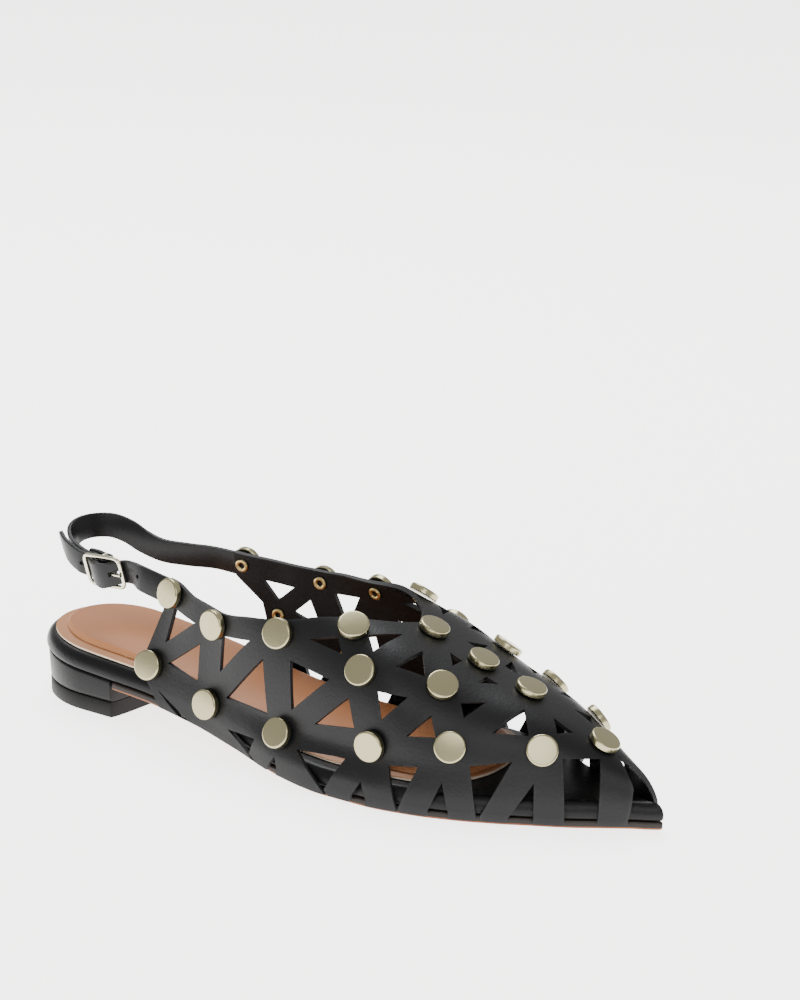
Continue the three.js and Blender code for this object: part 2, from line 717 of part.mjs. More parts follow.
function legGapCutter({ back, backRise, front, frontRise, footBack, footFront }, side) {
  const at = (along, rise) => faceAt(along * FOOTBED_LENGTH, side, rise);
  const top = back === front ? [at(back, backRise)] : [at(back, backRise), at(front, frontRise)];
  const foot = [at(footFront, 0), at(footBack, 0)];
  const down = foot[0].clone().add(foot[1]).multiplyScalar(0.5).sub(top[0]).normalize();
  const low = foot.map((corner) => corner.clone().addScaledVector(down, FOOT_OVERCUT));
  return outwardPrism([...top, foot[0], low[0], low[1], foot[1]], side);
}

// The upper ends behind the first studs: the strap's seam, then the edge of the first strip and leg.
const BACK_EDGE = {
  outer: [
    { along: 0.2345, rise: 0.16 },
    { along: 0.2345, rise: 0.11 },
    { along: 0.268, rise: 0 },
  ],
  inner: [
    { along: 0.292, rise: 0.31 },
    { along: 0.298, rise: 0.24 },
    { along: 0.296, rise: 0 },
  ],
};

function seamAt(side) {
  return studSpot("A1", side).s - SEAM_BACK;
}

function backCutter(side) {
  const seam = seamAt(side) / FOOTBED_LENGTH;
  const edge = [{ along: seam, rise: 0.6 }, { along: seam, rise: 0.41 }, ...BACK_EDGE[sideName(side)]];
  const line = edge.map(({ along, rise }) => faceAt(along * FOOTBED_LENGTH, side, rise));
  const low = line[4].clone().add(new THREE.Vector3(4, 0, -6));
  const behind = new THREE.Vector3(UPPER_BACK - 12, line[0].y, line[0].z + 6);
  const under = new THREE.Vector3(UPPER_BACK - 12, line[4].y, low.z);
  return outwardPrism([behind, line[0].setZ(line[0].z + 4), ...line.slice(1), low, under], side);
}

function studTurn(name, side) {
  const { s, rise } = studSpot(name, side);
  const outward = outwardAt(s, side, rise);
  return new THREE.Quaternion().setFromUnitVectors(new THREE.Vector3(0, 0, 1), outward);
}

const POST_CLEARANCE = 0.4;
const POST_SIDES = 6;

function postHole(name, side) {
  const radius = POST_RADIUS + POST_CLEARANCE;
  const hole = loftRings([ringAt(radius, -5, POST_SIDES), ringAt(radius, 5, POST_SIDES)]);
  hole.applyQuaternion(studTurn(name, side));
  const at = studPoint(name, side);
  hole.translate(at.x, at.y, at.z);
  return hole;
}

function studPlaces() {
  return Object.entries(STUDS).flatMap(([name, { rise }]) => {
    return rise === 1 ? [{ name, side: OUTER }] : [{ name, side: OUTER }, { name, side: INNER }];
  });
}

function upper() {
  const cutters = [];
  for (const side of [OUTER, INNER]) {
    cutters.push(...HOLES.map((hole) => holeCutter(hole, side)));
    const gaps = [...LEG_GAPS.both, ...LEG_GAPS[sideName(side)]];
    cutters.push(...gaps.map((gap) => legGapCutter(gap, side)));
    cutters.push(backCutter(side));
  }
  cutters.push(...studPlaces().map(({ name, side }) => postHole(name, side)));
  return cutBy(upperShell(), cutters);
}

// How far the leather under a stud's rim rises above its middle.
const SEAT_PLAY = 0.18;

function rimRise(name, side) {
  const middle = studPoint(name, side);
  const { s, rise } = studSpot(name, side);
  const outward = outwardAt(s, side, rise);
  const around = sectionAt(s, side).reach[SECTION_STEPS];
  const heights = Array.from({ length: 16 }, (_, k) => {
    const angle = (k / 16) * 2 * Math.PI;
    const beside = s + STUD_RADIUS * Math.cos(angle);
    return faceAt(beside, side, rise + (STUD_RADIUS / around) * Math.sin(angle)).sub(middle).dot(outward);
  });
  return SEAT_PLAY + 1.2 * Math.max(0, ...heights);
}

// Studs: a flat disc with a bevelled rim, a post through the leather and a cap inside.
function stud(lift) {
  const seat = FIT_GAP + lift;
  const head = seat + STUD_WALL;
  const capTop = -UPPER_WALL - CAP_PLAY;
  const profile = [
    [STUD_RADIUS - STUD_BEVEL, head],
    [STUD_RADIUS, head - STUD_BEVEL],
    [STUD_RADIUS, seat],
    [POST_RADIUS, seat],
    [POST_RADIUS, capTop],
    [CAP_RADIUS, capTop],
    [CAP_RADIUS, capTop - CAP_WALL],
  ];
  const rings = profile.reverse().map(([radius, height]) => ringAt(radius, height, STUD_SIDES));
  return loftRings(rings);
}

// The heel strap from its seam on the inner side, round the heel. along: share of the footbed's length;
// across: share of half the ball width; rise: share of the instep's height; lean tips its upper edge outward.
const HEEL_STRAP = [
  { along: 0.2107, across: 0.545, rise: 0.863, lean: -15 },
  { along: 0.1648, across: 0.515, rise: 0.846, lean: -9 },
  { along: 0.1226, across: 0.482, rise: 0.84, lean: -6 },
  { along: 0.092, across: 0.452, rise: 0.872, lean: -2 },
  { along: 0.067, across: 0.407, rise: 0.924, lean: 3 },
  { along: 0.046, across: 0.34, rise: 0.952, lean: 6 },
  { along: 0.0276, across: 0.206, rise: 0.956, lean: 8 },
  { along: 0.0215, across: 0.037, rise: 0.948, lean: 12 },
  { along: 0.026, across: -0.1, rise: 0.924, lean: 14 },
  { along: 0.048, across: -0.254, rise: 0.894, lean: 14 },
];

// Its end in the buckle's axes: over the centre bar, round it and back inside.
const HEEL_STRAP_FOLD = [
  { u: -11.5, v: 0, n: -4.3 },
  { u: -8, v: 0, n: -4.1 },
  { u: -3, v: 0, n: -2.2 },
  { u: 0, v: 0, n: -0.85 },
  { u: 1.25, v: 0, n: -1.35 },
  { u: 1.75, v: 0, n: -2.6 },
  { u: 1.25, v: 0, n: -3.85 },
  { u: 0, v: 0, n: -4.4 },
  { u: -3, v: 0, n: -4.9 },
  { u: -8, v: 0, n: -6.2 },
  { u: -12.5, v: 0, n: -6.6 },
];

// The buckle strap in the buckle's axes: the free end, under the rear side, over the centre bar
// and under the front side; then on to its seam on the outer side.
const BUCKLE_STRAP_END = [
  { u: -26.4, v: 9, n: -6.2, wide: 0.4 },
  { u: -23.8, v: 7.8, n: -4.2, wide: 0.9 },
  { u: -19.5, v: 5.4, n: -1.9, wide: 1 },
  { u: -14, v: 2.2, n: -1.2, wide: 1 },
  { u: -9.2, v: 0.1, n: -1.95, wide: 0.97 },
  { u: -6, v: -0.1, n: 0.1, wide: 0.97 },
  { u: -3, v: -0.4, n: 2.1, wide: 1.02 },
  { u: 0, v: -0.6, n: 2.6, wide: 1.11 },
  { u: 3, v: -0.4, n: 2.1, wide: 1.02 },
  { u: 6, v: -0.1, n: 0.1, wide: 0.97 },
  { u: 9.2, v: 0, n: -1.95, wide: 0.97 },
  { u: 13, v: 0, n: -1.9, wide: 1 },
];
const BUCKLE_STRAP = { along: 0.2146, across: -0.557, rise: 0.897, lean: -9 };

function sharePoint({ along, across, rise }) {
  return new THREE.Vector3(along * FOOTBED_LENGTH, (across * BALL_WIDTH) / 2, rise * INSTEP_HEIGHT);
}

function buckleFrame() {
  const yaw = new THREE.Quaternion().setFromAxisAngle(new THREE.Vector3(0, 0, 1), BUCKLE_YAW_DEG * RAD);
  const pitch = new THREE.Quaternion().setFromAxisAngle(new THREE.Vector3(0, 1, 0), -BUCKLE_PITCH_DEG * RAD);
  const tilt = new THREE.Quaternion().setFromAxisAngle(new THREE.Vector3(1, 0, 0), BUCKLE_TILT_DEG * RAD);
  const turn = yaw.multiply(pitch).multiply(tilt);
  return new THREE.Matrix4().compose(sharePoint(BUCKLE_AT), turn, new THREE.Vector3(1, 1, 1));
}

function inBuckle({ u, v, n }) {
  return new THREE.Vector3(u, -n, v).applyMatrix4(buckleFrame());
}

// A strap swept through rows; share narrows it to its tip.
function sweepStrap(rows, stepsPerRow) {
  const curve = new THREE.CatmullRomCurve3(rows.map(({ at }) => at), false, "centripetal");
  const count = (rows.length - 1) * stepsPerRow;
  const rings = [];
  for (let i = 0; i <= count; i += 1) {
    const t = i / count;
    const row = Math.min(rows.length - 2, Math.floor(i / stepsPerRow));
    const part = i / stepsPerRow - row;
    const lean = (rows[row].lean * (1 - part) + rows[row + 1].lean * part) * RAD;
    const width = rows[row].width * (1 - part) + rows[row + 1].width * part;
    const forward = curve.getTangent(t);
    const upright = rows[row].up.clone().lerp(rows[row + 1].up, part);
    const wide = upright.addScaledVector(forward, -upright.dot(forward)).normalize();
    const face = forward.clone().cross(wide);
    const across = wide.clone().multiplyScalar(Math.cos(lean)).addScaledVector(face, Math.sin(lean));
    const out = forward.clone().cross(across);
    const middle = curve.getPoint(t);
    const corner = (w, o) => {
      const edge = middle.clone().addScaledVector(across, (w * width) / 2);
      return edge.addScaledVector(out, (o * STRAP_WALL) / 2);
    };
    rings.push([corner(-1, -1), corner(1, -1), corner(1, 1), corner(-1, 1)]);
  }
  return loftRings(rings);
}

const worldRow = (row) => {
  return { at: sharePoint(row), up: new THREE.Vector3(0, 0, 1), lean: row.lean, width: STRAP_WIDTH };
};

const buckleRow = ({ wide = 1, ...row }) => {
  const up = new THREE.Vector3(0, 0, 1).transformDirection(buckleFrame());
  return { at: inBuckle(row), up, lean: 0, width: STRAP_WIDTH * wide };
};

// A strap's end at its seam: in the middle of the upper's wall, a fit's gap behind the cut.
const SEAM_RISE = 0.467;
const SEAM_GAP = 0.9;

function seamRow(side) {
  const s = seamAt(side) - SEAM_GAP;
  const outward = outwardAt(s, side, SEAM_RISE);
  const lean = -Math.asin(outward.z) / RAD;
  const at = wallAt(s, side, SEAM_RISE, -UPPER_WALL / 2);
  return { at, up: new THREE.Vector3(0, 0, 1), lean, width: STRAP_WIDTH };
}

function slotCutter(from, to, half) {
  const outline = [[from, -half], [to, -half], [to, half], [from, half]];
  return prismThrough(outline.map(([u, v]) => inBuckle({ u, v, n: 0 })), 9, 9);
}

const PRONG_SLOT = 1.1;

function heelStrap() {
  const rows = [seamRow(INNER), ...HEEL_STRAP.map(worldRow), ...HEEL_STRAP_FOLD.map(buckleRow)];
  return cutBy(sweepStrap(rows, 2), [slotCutter(-2.6, 4, PRONG_SLOT)]);
}

function buckleStrap() {
  const rows = [...BUCKLE_STRAP_END.map(buckleRow), worldRow(BUCKLE_STRAP), seamRow(OUTER)];
  return cutBy(sweepStrap(rows, 2), [slotCutter(2.8, 8, PRONG_SLOT)]);
}

// A tube along points in the buckle's axes, mitred at its bends; closed tubes join their ends.
function tube(path, radius, sides, closed = false) {
  const count = path.length;
  const rings = path.map((point, i) => {
    const before = path[closed ? (i + count - 1) % count : Math.max(0, i - 1)];
    const after = path[closed ? (i + 1) % count : Math.min(count - 1, i + 1)];
    const into = point.clone().sub(before).normalize();
    const outOf = after.clone().sub(point).normalize();
    const forward = into.clone().add(outOf).normalize();
    const inside = into.lengthSq() > 0 && outOf.lengthSq() > 0;
    const bend = into.lengthSq() > 0 ? forward.dot(into) : 1;
    return { point, forward, away: inside ? outOf.clone().sub(into) : new THREE.Vector3(), bend };
  });
  const widest = (most, ring) => (ring.away.lengthSq() > most.lengthSq() ? ring.away : most);
  const side = rings.reduce(widest, new THREE.Vector3());
  const firstForward = rings[0].forward;
  const binormal = firstForward.clone().cross(side).normalize();
  const made = rings.map(({ point, forward, bend }) => {
    const inPlane = binormal.clone().cross(forward).normalize();
    return Array.from({ length: sides }, (_, k) => {
      const angle = ((k + 0.5) / sides) * 2 * Math.PI;
      return point.clone()
        .addScaledVector(inPlane, (Math.cos(angle) * radius) / bend)
        .addScaledVector(binormal, Math.sin(angle) * radius);
    });
  });
  return closed ? loopRings(made) : loftRings(made);
}

function loopRings(rings) {
  const count = rings[0].length;
  const triangles = [];
  for (let r = 0; r < rings.length; r += 1) {
    const next = (r + 1) % rings.length;
    for (let i = 0; i < count; i += 1) {
      const j = (i + 1) % count;
      triangles.push([r * count + i, r * count + j, next * count + j]);
      triangles.push([r * count + i, next * count + j, next * count + i]);
    }
  }
  return bodyFrom(rings.flat(), triangles);
}

const CORNER_STEPS = 3;

function buckle() {
  const halfLength = BUCKLE_LENGTH / 2 - BUCKLE_WIRE;
  const halfHeight = BUCKLE_HEIGHT / 2 - BUCKLE_WIRE;
  const path = [];
  for (let quarter = 0; quarter < 4; quarter += 1) {
    const alongSign = quarter === 0 || quarter === 3 ? 1 : -1;
    const upSign = quarter < 2 ? 1 : -1;
    for (let i = 0; i <= CORNER_STEPS; i += 1) {
      const angle = (quarter + i / CORNER_STEPS) * (Math.PI / 2);
      path.push(inBuckle({
        u: alongSign * (halfLength - BUCKLE_CORNER) + BUCKLE_CORNER * Math.cos(angle),
        v: upSign * (halfHeight - BUCKLE_CORNER) + BUCKLE_CORNER * Math.sin(angle),
        n: 0,
      }));
    }
  }
  const bar = [
    { u: 0, v: -halfHeight, n: 0 },
    { u: 0, v: -halfHeight, n: -BAR_DEPTH },
    { u: 0, v: halfHeight, n: -BAR_DEPTH },
    { u: 0, v: halfHeight, n: 0 },
  ].map(inBuckle);
  const rim = toSolid(tube(path, BUCKLE_WIRE, 6, true));
  return toGeometry(rim.add(toSolid(tube(bar, BAR_WIRE, 6))));
}

// The prong: an eye round the centre bar, and a pin that rests on the front side of the buckle.
function prong() {
  const eyeRadius = BAR_WIRE + FIT_GAP + PRONG_WIRE;
  const eye = Array.from({ length: 10 }, (_, i) => {
    const angle = (i / 10) * 2 * Math.PI;
    return inBuckle({ u: eyeRadius * Math.cos(angle), v: 0, n: -BAR_DEPTH + eyeRadius * Math.sin(angle) });
  });
  const rest = BUCKLE_WIRE + FIT_GAP + PRONG_WIRE;
  const pin = [
    { u: eyeRadius, v: 0, n: -BAR_DEPTH },
    { u: eyeRadius + 1, v: 0, n: -1.2 },
    { u: 6.2, v: 0, n: rest },
    { u: BUCKLE_LENGTH / 2 + 0.3, v: 0, n: rest },
  ].map(inBuckle);
  return toGeometry(toSolid(tube(eye, PRONG_WIRE, 6, true)).add(toSolid(tube(pin, PRONG_WIRE, 6))));
}

const leather = new THREE.MeshStandardMaterial({ color: 0x1b1b1d, roughness: 0.5, metalness: 0 });
const wrapped = new THREE.MeshStandardMaterial({ color: 0x161617, roughness: 0.4, metalness: 0 });
const soleLeather = new THREE.MeshStandardMaterial({ color: 0x5f3014, roughness: 0.6, metalness: 0 });
const tan = new THREE.MeshStandardMaterial({ color: 0xc79468, roughness: 0.6, metalness: 0 });
const nickel = new THREE.MeshStandardMaterial({ color: 0xd8d3bb, roughness: 0.2, metalness: 1 });

const shoe = new THREE.Group();

function add(name, geometry, material) {
  const mesh = new THREE.Mesh(geometry, material);
  mesh.name = name;
  shoe.add(mesh);
  return mesh;
}

add("outsole", outsole(), soleLeather);
add("footbed", footbed(), wrapped);
add("heel_block", heelBlock(), wrapped);
add("top_piece", topPiece(), wrapped);
add("insole_sock", insole(SOCK_INSET, FIT_GAP, SOCK_WALL, 0.3), tan);
add("insole_pad", insole(PAD_INSET, 2 * FIT_GAP + SOCK_WALL, PAD_WALL, 1.2), tan);
add("upper", upper(), leather);
add("heel_strap", heelStrap(), leather);
add("buckle_strap", buckleStrap(), leather);
add("buckle_frame", buckle(), nickel);
add("buckle_prong", prong(), nickel);

for (const { name, side } of studPlaces()) {
  const label = STUDS[name].rise === 1 ? "centre" : side === OUTER ? "outer" : "inner";
  const mesh = add(`stud_${name.toLowerCase()}_${label}`, stud(rimRise(name, side)), nickel);
  mesh.position.copy(studPoint(name, side));
  mesh.quaternion.copy(studTurn(name, side));
}

// The origin is the middle of the heel's tread.
for (const mesh of shoe.children) mesh.position.x -= TREAD_MIDDLE;

export default shoe;
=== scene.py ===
# %% [markdown]
# # A studded slingback flat, dressed for the camera
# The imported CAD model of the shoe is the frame. Every piece here is built in the same frame,
# in metres: +X runs to the toe, +Y to the inner side and +Z up, with the origin in the middle
# of the heel's tread. The sizes below are those of the last that the shoe is made on.

# %% Load the frame
import math

import bmesh
import bpy
import numpy as np
from mathutils import Matrix, Vector


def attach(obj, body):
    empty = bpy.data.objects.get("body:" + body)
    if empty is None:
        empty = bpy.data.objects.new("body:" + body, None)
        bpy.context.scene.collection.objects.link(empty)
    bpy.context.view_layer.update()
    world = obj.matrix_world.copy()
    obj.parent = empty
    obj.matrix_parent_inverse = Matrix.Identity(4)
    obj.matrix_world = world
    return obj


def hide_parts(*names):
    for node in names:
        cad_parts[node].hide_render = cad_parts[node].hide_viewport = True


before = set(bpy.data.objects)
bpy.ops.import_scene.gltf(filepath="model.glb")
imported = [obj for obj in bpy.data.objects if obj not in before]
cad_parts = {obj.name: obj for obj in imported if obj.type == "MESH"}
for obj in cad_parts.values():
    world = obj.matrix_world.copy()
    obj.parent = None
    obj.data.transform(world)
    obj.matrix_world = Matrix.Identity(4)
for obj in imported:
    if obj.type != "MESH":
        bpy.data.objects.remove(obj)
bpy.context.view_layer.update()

# %% [markdown]
# ## The last
# A shoe is designed on a last: a solid foot form whose sections change from heel to toe. One
# small table holds what a last maker would note at each station, and smooth curves run through
# it. Heights, widths and the way the sides lean all come from these rows, so that the upper,
# the footbed and the sole share one shape and meet without gaps.

# %% Sizes of the last, in millimetres
MM = 0.001
FOOTBED_LENGTH = 261
BALL_WIDTH = 80.4
INSTEP_HEIGHT = 62
SHANK_LIFT = 13
TOE_SPRING = 1.5
TOE_SWING = math.radians(5.3)
SWING_FROM = 0.3
SWING_TO = 0.8
OUTSOLE_WALL = 3
FOOTBED_WALL = 6.4
UPPER_WALL = 1.8
FIT_GAP = 0.3
FOOT_GAP = 0.55
UPPER_FLARE = 5
TREAD_MIDDLE = 26
OUTER = -1
INNER = 1

STATION_COLUMNS = ("along", "outer", "inner", "lift", "spring", "crown", "square", "lean", "flare")
STATIONS = np.array([
    (0, 0.745, 0.745, 1.2, 0, 1.5, 3.0, 0.5, 0.0),
    (0.06, 0.745, 0.745, 1.12, 0, 1.5, 3.0, 0.5, 0.0),
    (0.12, 0.745, 0.745, 1.02, 0, 1.5, 3.0, 0.5, 0.0),
    (0.18, 0.735, 0.735, 0.93, 0, 1.48, 3.0, 0.45, 0.1),
    (0.25, 0.712, 0.7, 0.81, 0, 1.45, 3.0, 0.33, 0.24),
    (0.33, 0.72, 0.69, 0.58, 0, 1.4, 3.0, -0.05, 0.4),
    (0.41, 0.785, 0.73, 0.3, 0, 1.29, 3.0, -0.22, 0.6),
    (0.49, 0.92, 0.84, 0.08, 0, 1.145, 3.1, -0.06, 0.9),
    (0.57, 0.998, 0.94, 0, 0, 1.0, 3.6, 0, 1.0),
    (0.63, 1.0, 1.0, 0, 0, 0.906, 3.8, 0, 0.9),
    (0.69, 0.94, 1.03, 0, 0, 0.811, 3.0, 0, 0.52),
    (0.75, 0.815, 0.96, 0, 0, 0.718, 2.7, 0, 0.32),
    (0.8, 0.67, 0.8, 0, 0, 0.65, 2.8, 0, 0.24),
    (0.85, 0.502, 0.6, 0, 0, 0.568, 3.0, 0, 0.2),
    (0.89, 0.378, 0.44, 0, 0.15, 0.484, 2.9, 0, 0.16),
    (0.93, 0.235, 0.27, 0, 0.4, 0.395, 2.7, 0, 0.1),
    (0.97, 0.11, 0.11, 0, 0.75, 0.306, 2.5, 0, 0.04),
    (1.0, 0.05, 0.05, 0, 1, 0.24, 2.5, 0, 0),
])


def reader(x, y):
    """A smooth curve through a column, by monotone cubic pieces."""
    slope = np.diff(y) / np.diff(x)
    tangent = np.zeros(len(x))
    tangent[0], tangent[-1] = slope[0], slope[-1]
    before, after = slope[:-1], slope[1:]
    mean = 2 * before * after / np.where(before + after == 0, 1, before + after)
    tangent[1:-1] = np.where(before * after <= 0, 0, mean)

    def read(at):
        at = np.clip(np.asarray(at, float), x[0], x[-1])
        i = np.clip(np.searchsorted(x, at, side="right") - 1, 0, len(x) - 2)
        span = x[i + 1] - x[i]
        t = (at - x[i]) / span
        bend = span * t * (1 - t) * ((1 - t) * tangent[i] - t * tangent[i + 1])
        return y[i] + (y[i + 1] - y[i]) * t * t * (3 - 2 * t) + bend

    return read


last = {name: reader(STATIONS[:, 0], STATIONS[:, k]) for k, name in enumerate(STATION_COLUMNS) if k}
print("stations of the last:", len(STATIONS))

# %% Points on the last
SECTION_STEPS = 96
FLARE_FOOT = 3.5
FLARE_REACH = 14
# How far to each side the face is felt for its normal: millimetres along, and share of the rise
FEEL_ALONG = 0.5
FEEL_UP = 0.012


def smooth_step(value):
    t = np.clip(value, 0, 1)
    return t * t * (3 - 2 * t)


def place(s, across, up):
    """A point at s along the spine, which swings to the inner side at the toe."""
    start, stop = SWING_FROM * FOOTBED_LENGTH, SWING_TO * FOOTBED_LENGTH
    radius = (stop - start) / TOE_SWING
    heading = np.clip(s - start, 0, stop - start) / radius
    past = np.maximum(0, s - stop)
    x = np.minimum(s, start) + radius * np.sin(heading) + past * np.cos(heading)
    y = radius * (1 - np.cos(heading)) + past * np.sin(heading)
    x, y = x - across * np.sin(heading), y + across * np.cos(heading)
    return np.stack([x - TREAD_MIDDLE, y, up + 0 * x], axis=-1)


def sole_top(s):
    share = s / FOOTBED_LENGTH
    return OUTSOLE_WALL + SHANK_LIFT * last["lift"](share) + TOE_SPRING * last["spring"](share)


def half_width(s, side):
    name = "outer" if side == OUTER else "inner"
    return BALL_WIDTH / 2 * last[name](s / FOOTBED_LENGTH)


def face_at(s, side, rise):
    """The upper's outer face; rise runs from 0 at the sole to 1 at the crown and on to 2."""
    s, rise = np.broadcast_arrays(np.asarray(s, float), np.asarray(rise, float))
    shape = s.shape
    s, rise = s.ravel(), rise.ravel()
    side = np.where(rise > 1, -side, side)
    rise = np.where(rise > 1, 2 - rise, np.abs(rise))
    share = s / FOOTBED_LENGTH
    foot = sole_top(s) + FOOT_GAP
    height = INSTEP_HEIGHT * last["crown"](share) - foot
    half = np.where(side == OUTER, half_width(s, OUTER), half_width(s, INNER))
    edge = half + FIT_GAP + UPPER_WALL
    power = 2 / last["square"](share)
    angle = np.linspace(0, math.pi / 2, SECTION_STEPS + 1)
    up = np.sin(angle)[None, :] ** power[:, None]
    out = np.cos(angle)[None, :].clip(0) ** power[:, None]
    out[:, -1] = 0
    rises = up * height[:, None]
    flare = UPPER_FLARE * last["flare"](share)
    body = edge[:, None] - flare[:, None] * smooth_step((rises - FLARE_FOOT) / FLARE_REACH)
    across = body * out * (1 - last["lean"](share)[:, None] * up)
    upward = foot[:, None] + rises
    steps = np.hypot(np.diff(across, axis=1), np.diff(upward, axis=1))
    reach = np.concatenate([np.zeros((len(s), 1)), np.cumsum(steps, axis=1)], axis=1)
    target = rise * reach[:, -1]
    k = np.clip((reach < target[:, None]).sum(axis=1) - 1, 0, SECTION_STEPS - 1)
    row = np.arange(len(s))
    t = (target - reach[row, k]) / (reach[row, k + 1] - reach[row, k])
    a = across[row, k] + (across[row, k + 1] - across[row, k]) * t
    z = upward[row, k] + (upward[row, k + 1] - upward[row, k]) * t
    return place(s, side * a, z).reshape(shape + (3,))


def unit(vectors):
    return vectors / np.linalg.norm(vectors, axis=-1, keepdims=True)


def outward_at(s, side, rise):
    ahead = face_at(s + FEEL_ALONG, side, rise) - face_at(s - FEEL_ALONG, side, rise)
    above = face_at(s, side, rise + FEEL_UP) - face_at(s, side, np.maximum(0, rise - FEEL_UP))
    return unit(np.cross(ahead, above) * -side)


print("crown over the ball:", face_at(0.63 * FOOTBED_LENGTH, OUTER, 1.0).round(1))

# %% [markdown]
# ## From points to meshes
# Every leather piece is a closed body: rings or rows of points are joined by quads, and the
# ends are closed. The helpers below take points in millimetres and hand back an object that
# sits at the origin, with its place in its mesh.

# %% Mesh helpers


def add_object(name, data):
    obj = bpy.data.objects.new(name, data)
    bpy.context.scene.collection.objects.link(obj)
    return obj


def make_object(name, points, faces, material=None, smooth=True):
    mesh = bpy.data.meshes.new(name)
    mesh.from_pydata((np.asarray(points) * MM).tolist(), [], faces)
    mesh.update()
    mesh.validate()
    if material:
        mesh.materials.append(material)
    mesh.polygons.foreach_set("use_smooth", [smooth] * len(mesh.polygons))
    return add_object(name, mesh)


def merge_points(obj, distance=1e-7):
    work = bmesh.new()
    work.from_mesh(obj.data)
    bmesh.ops.remove_doubles(work, verts=work.verts, dist=distance)
    bmesh.ops.recalc_face_normals(work, faces=work.faces)
    work.to_mesh(obj.data)
    work.free()
    return obj


def ring_faces(rings, around, closed_path=False):
    faces = []
    for r in range(rings if closed_path else rings - 1):
        after = (r + 1) % rings
        for i in range(around):
            j = (i + 1) % around
            faces.append((r * around + i, r * around + j, after * around + j, after * around + i))
    return faces


def loft(name, rings, material=None, closed_path=False):
    """Rings of points joined into one closed body."""
    rings = np.asarray(rings)
    count, around = rings.shape[:2]
    faces = ring_faces(count, around, closed_path)
    if not closed_path:
        faces.append(tuple(range(around))[::-1])
        faces.append(tuple((count - 1) * around + i for i in range(around)))
    return make_object(name, rings.reshape(-1, 3), faces, material)


def shade_by_angle(obj, degrees):
    """Smooth faces, with sharp edges where the surface turns more than this."""
    obj.data.set_sharp_from_angle(angle=math.radians(degrees))
    return obj


def apply_modifiers(obj):
    depsgraph = bpy.context.evaluated_depsgraph_get()
    mesh = bpy.data.meshes.new_from_object(obj.evaluated_get(depsgraph))
    obj.modifiers.clear()
    old = obj.data
    obj.data = mesh
    bpy.data.meshes.remove(old)
    return obj


# %% [markdown]
# ## Finishes
# Calf leather is never one flat black: it has a fine pebbled grain, pores and faint clouds where
# the dye took more or less, and a waxed top coat that gives a cool satin sheen. The grain is one
# node group, fed with its own scale and depth, so that the upper, the covered heel, the outsole
# and the insole each get their own. Coordinates are the object's own, so that the grain is fixed
# to the leather.

# %% Node groups for grain and for worn edges with a painted highlight


def group_socket(group, name, kind, direction, value=None):
    socket = group.interface.new_socket(name, in_out=direction, socket_type="NodeSocket" + kind)
    if value is not None:
        socket.default_value = value


def join(tree, pairs):
    """Links between nodes, each written as (node, output, node, input)."""
    for source, output, target, where in pairs:
        tree.links.new(source.outputs[output], target.inputs[where])


def set_inputs(node, values):
    for name, value in values.items():
        node.inputs[name].default_value = value


def grain_group():
    """Pebbled grain: a bump for the surface and a slow cloud for the dye."""
    group = bpy.data.node_groups.new("leather_grain", "ShaderNodeTree")
    group_socket(group, "Scale", "Float", "INPUT", 1100.0)
    group_socket(group, "Depth", "Float", "INPUT", 0.12)
    group_socket(group, "Normal", "Vector", "OUTPUT")
    group_socket(group, "Cloud", "Float", "OUTPUT")
    nodes = group.nodes
    given, made = nodes.new("NodeGroupInput"), nodes.new("NodeGroupOutput")
    where = nodes.new("ShaderNodeTexCoord")
    pebble = nodes.new("ShaderNodeTexVoronoi")
    pebble.feature = "SMOOTH_F1"
    crease = nodes.new("ShaderNodeTexNoise")
    set_inputs(crease, {"Scale": 420.0, "Detail": 5.0})
    height = nodes.new("ShaderNodeMath")
    height.operation = "ADD"
    bump = nodes.new("ShaderNodeBump")
    set_inputs(bump, {"Distance": 0.0004})
    cloud = nodes.new("ShaderNodeTexNoise")
    set_inputs(cloud, {"Scale": 38.0, "Detail": 3.0})
    join(group, [
        (where, "Object", pebble, "Vector"), (given, "Scale", pebble, "Scale"),
        (where, "Object", crease, "Vector"), (where, "Object", cloud, "Vector"),
        (pebble, "Distance", height, 0), (crease, "Fac", height, 1),
        (given, "Depth", bump, "Strength"), (height, "Value", bump, "Height"),
        (bump, "Normal", made, "Normal"), (cloud, "Fac", made, "Cloud"),
    ])
    return group


# Convex edges take their own colour: partly wear, partly a painted highlight standing in for light
# caught on a rounded edge.
def edge_wear_and_highlight_group():
    """Convex edges, for wear and a painted highlight: a mask from how sharply the surface turns."""
    group = bpy.data.node_groups.new("edge_wear_and_highlight", "ShaderNodeTree")
    group_socket(group, "From", "Float", "INPUT", 0.52)
    group_socket(group, "To", "Float", "INPUT", 0.62)
    group_socket(group, "Mask", "Float", "OUTPUT")
    nodes = group.nodes
    given, made = nodes.new("NodeGroupInput"), nodes.new("NodeGroupOutput")
    surface = nodes.new("ShaderNodeNewGeometry")
    spread = nodes.new("ShaderNodeMapRange")
    join(group, [
        (surface, "Pointiness", spread, "Value"), (given, "From", spread, "From Min"),
        (given, "To", spread, "From Max"), (spread, "Result", made, "Mask"),
    ])
    return group


GRAIN = grain_group()
EDGE_WEAR_AND_HIGHLIGHT = edge_wear_and_highlight_group()
print("groups:", GRAIN.name, EDGE_WEAR_AND_HIGHLIGHT.name)

# %% [markdown]
# Each finish is one Principled shader. The dye's cloud mixes two near colours, and convex edges take
# an edge colour, on black leather a little lighter: partly wear where the dye is thin, partly a painted
# highlight. The outsole is rust brown underneath, darkened as painted shade, with its edge nearly
# black, partly edge ink and partly painted shade; the insole is undyed tan.

# %% Materials


def principled(name, roughness, metallic=0.0):
    material = bpy.data.materials.new(name)
    material.use_nodes = True
    shader = material.node_tree.nodes["Principled BSDF"]
    set_inputs(shader, {"Roughness": roughness, "Metallic": metallic})
    return material, shader


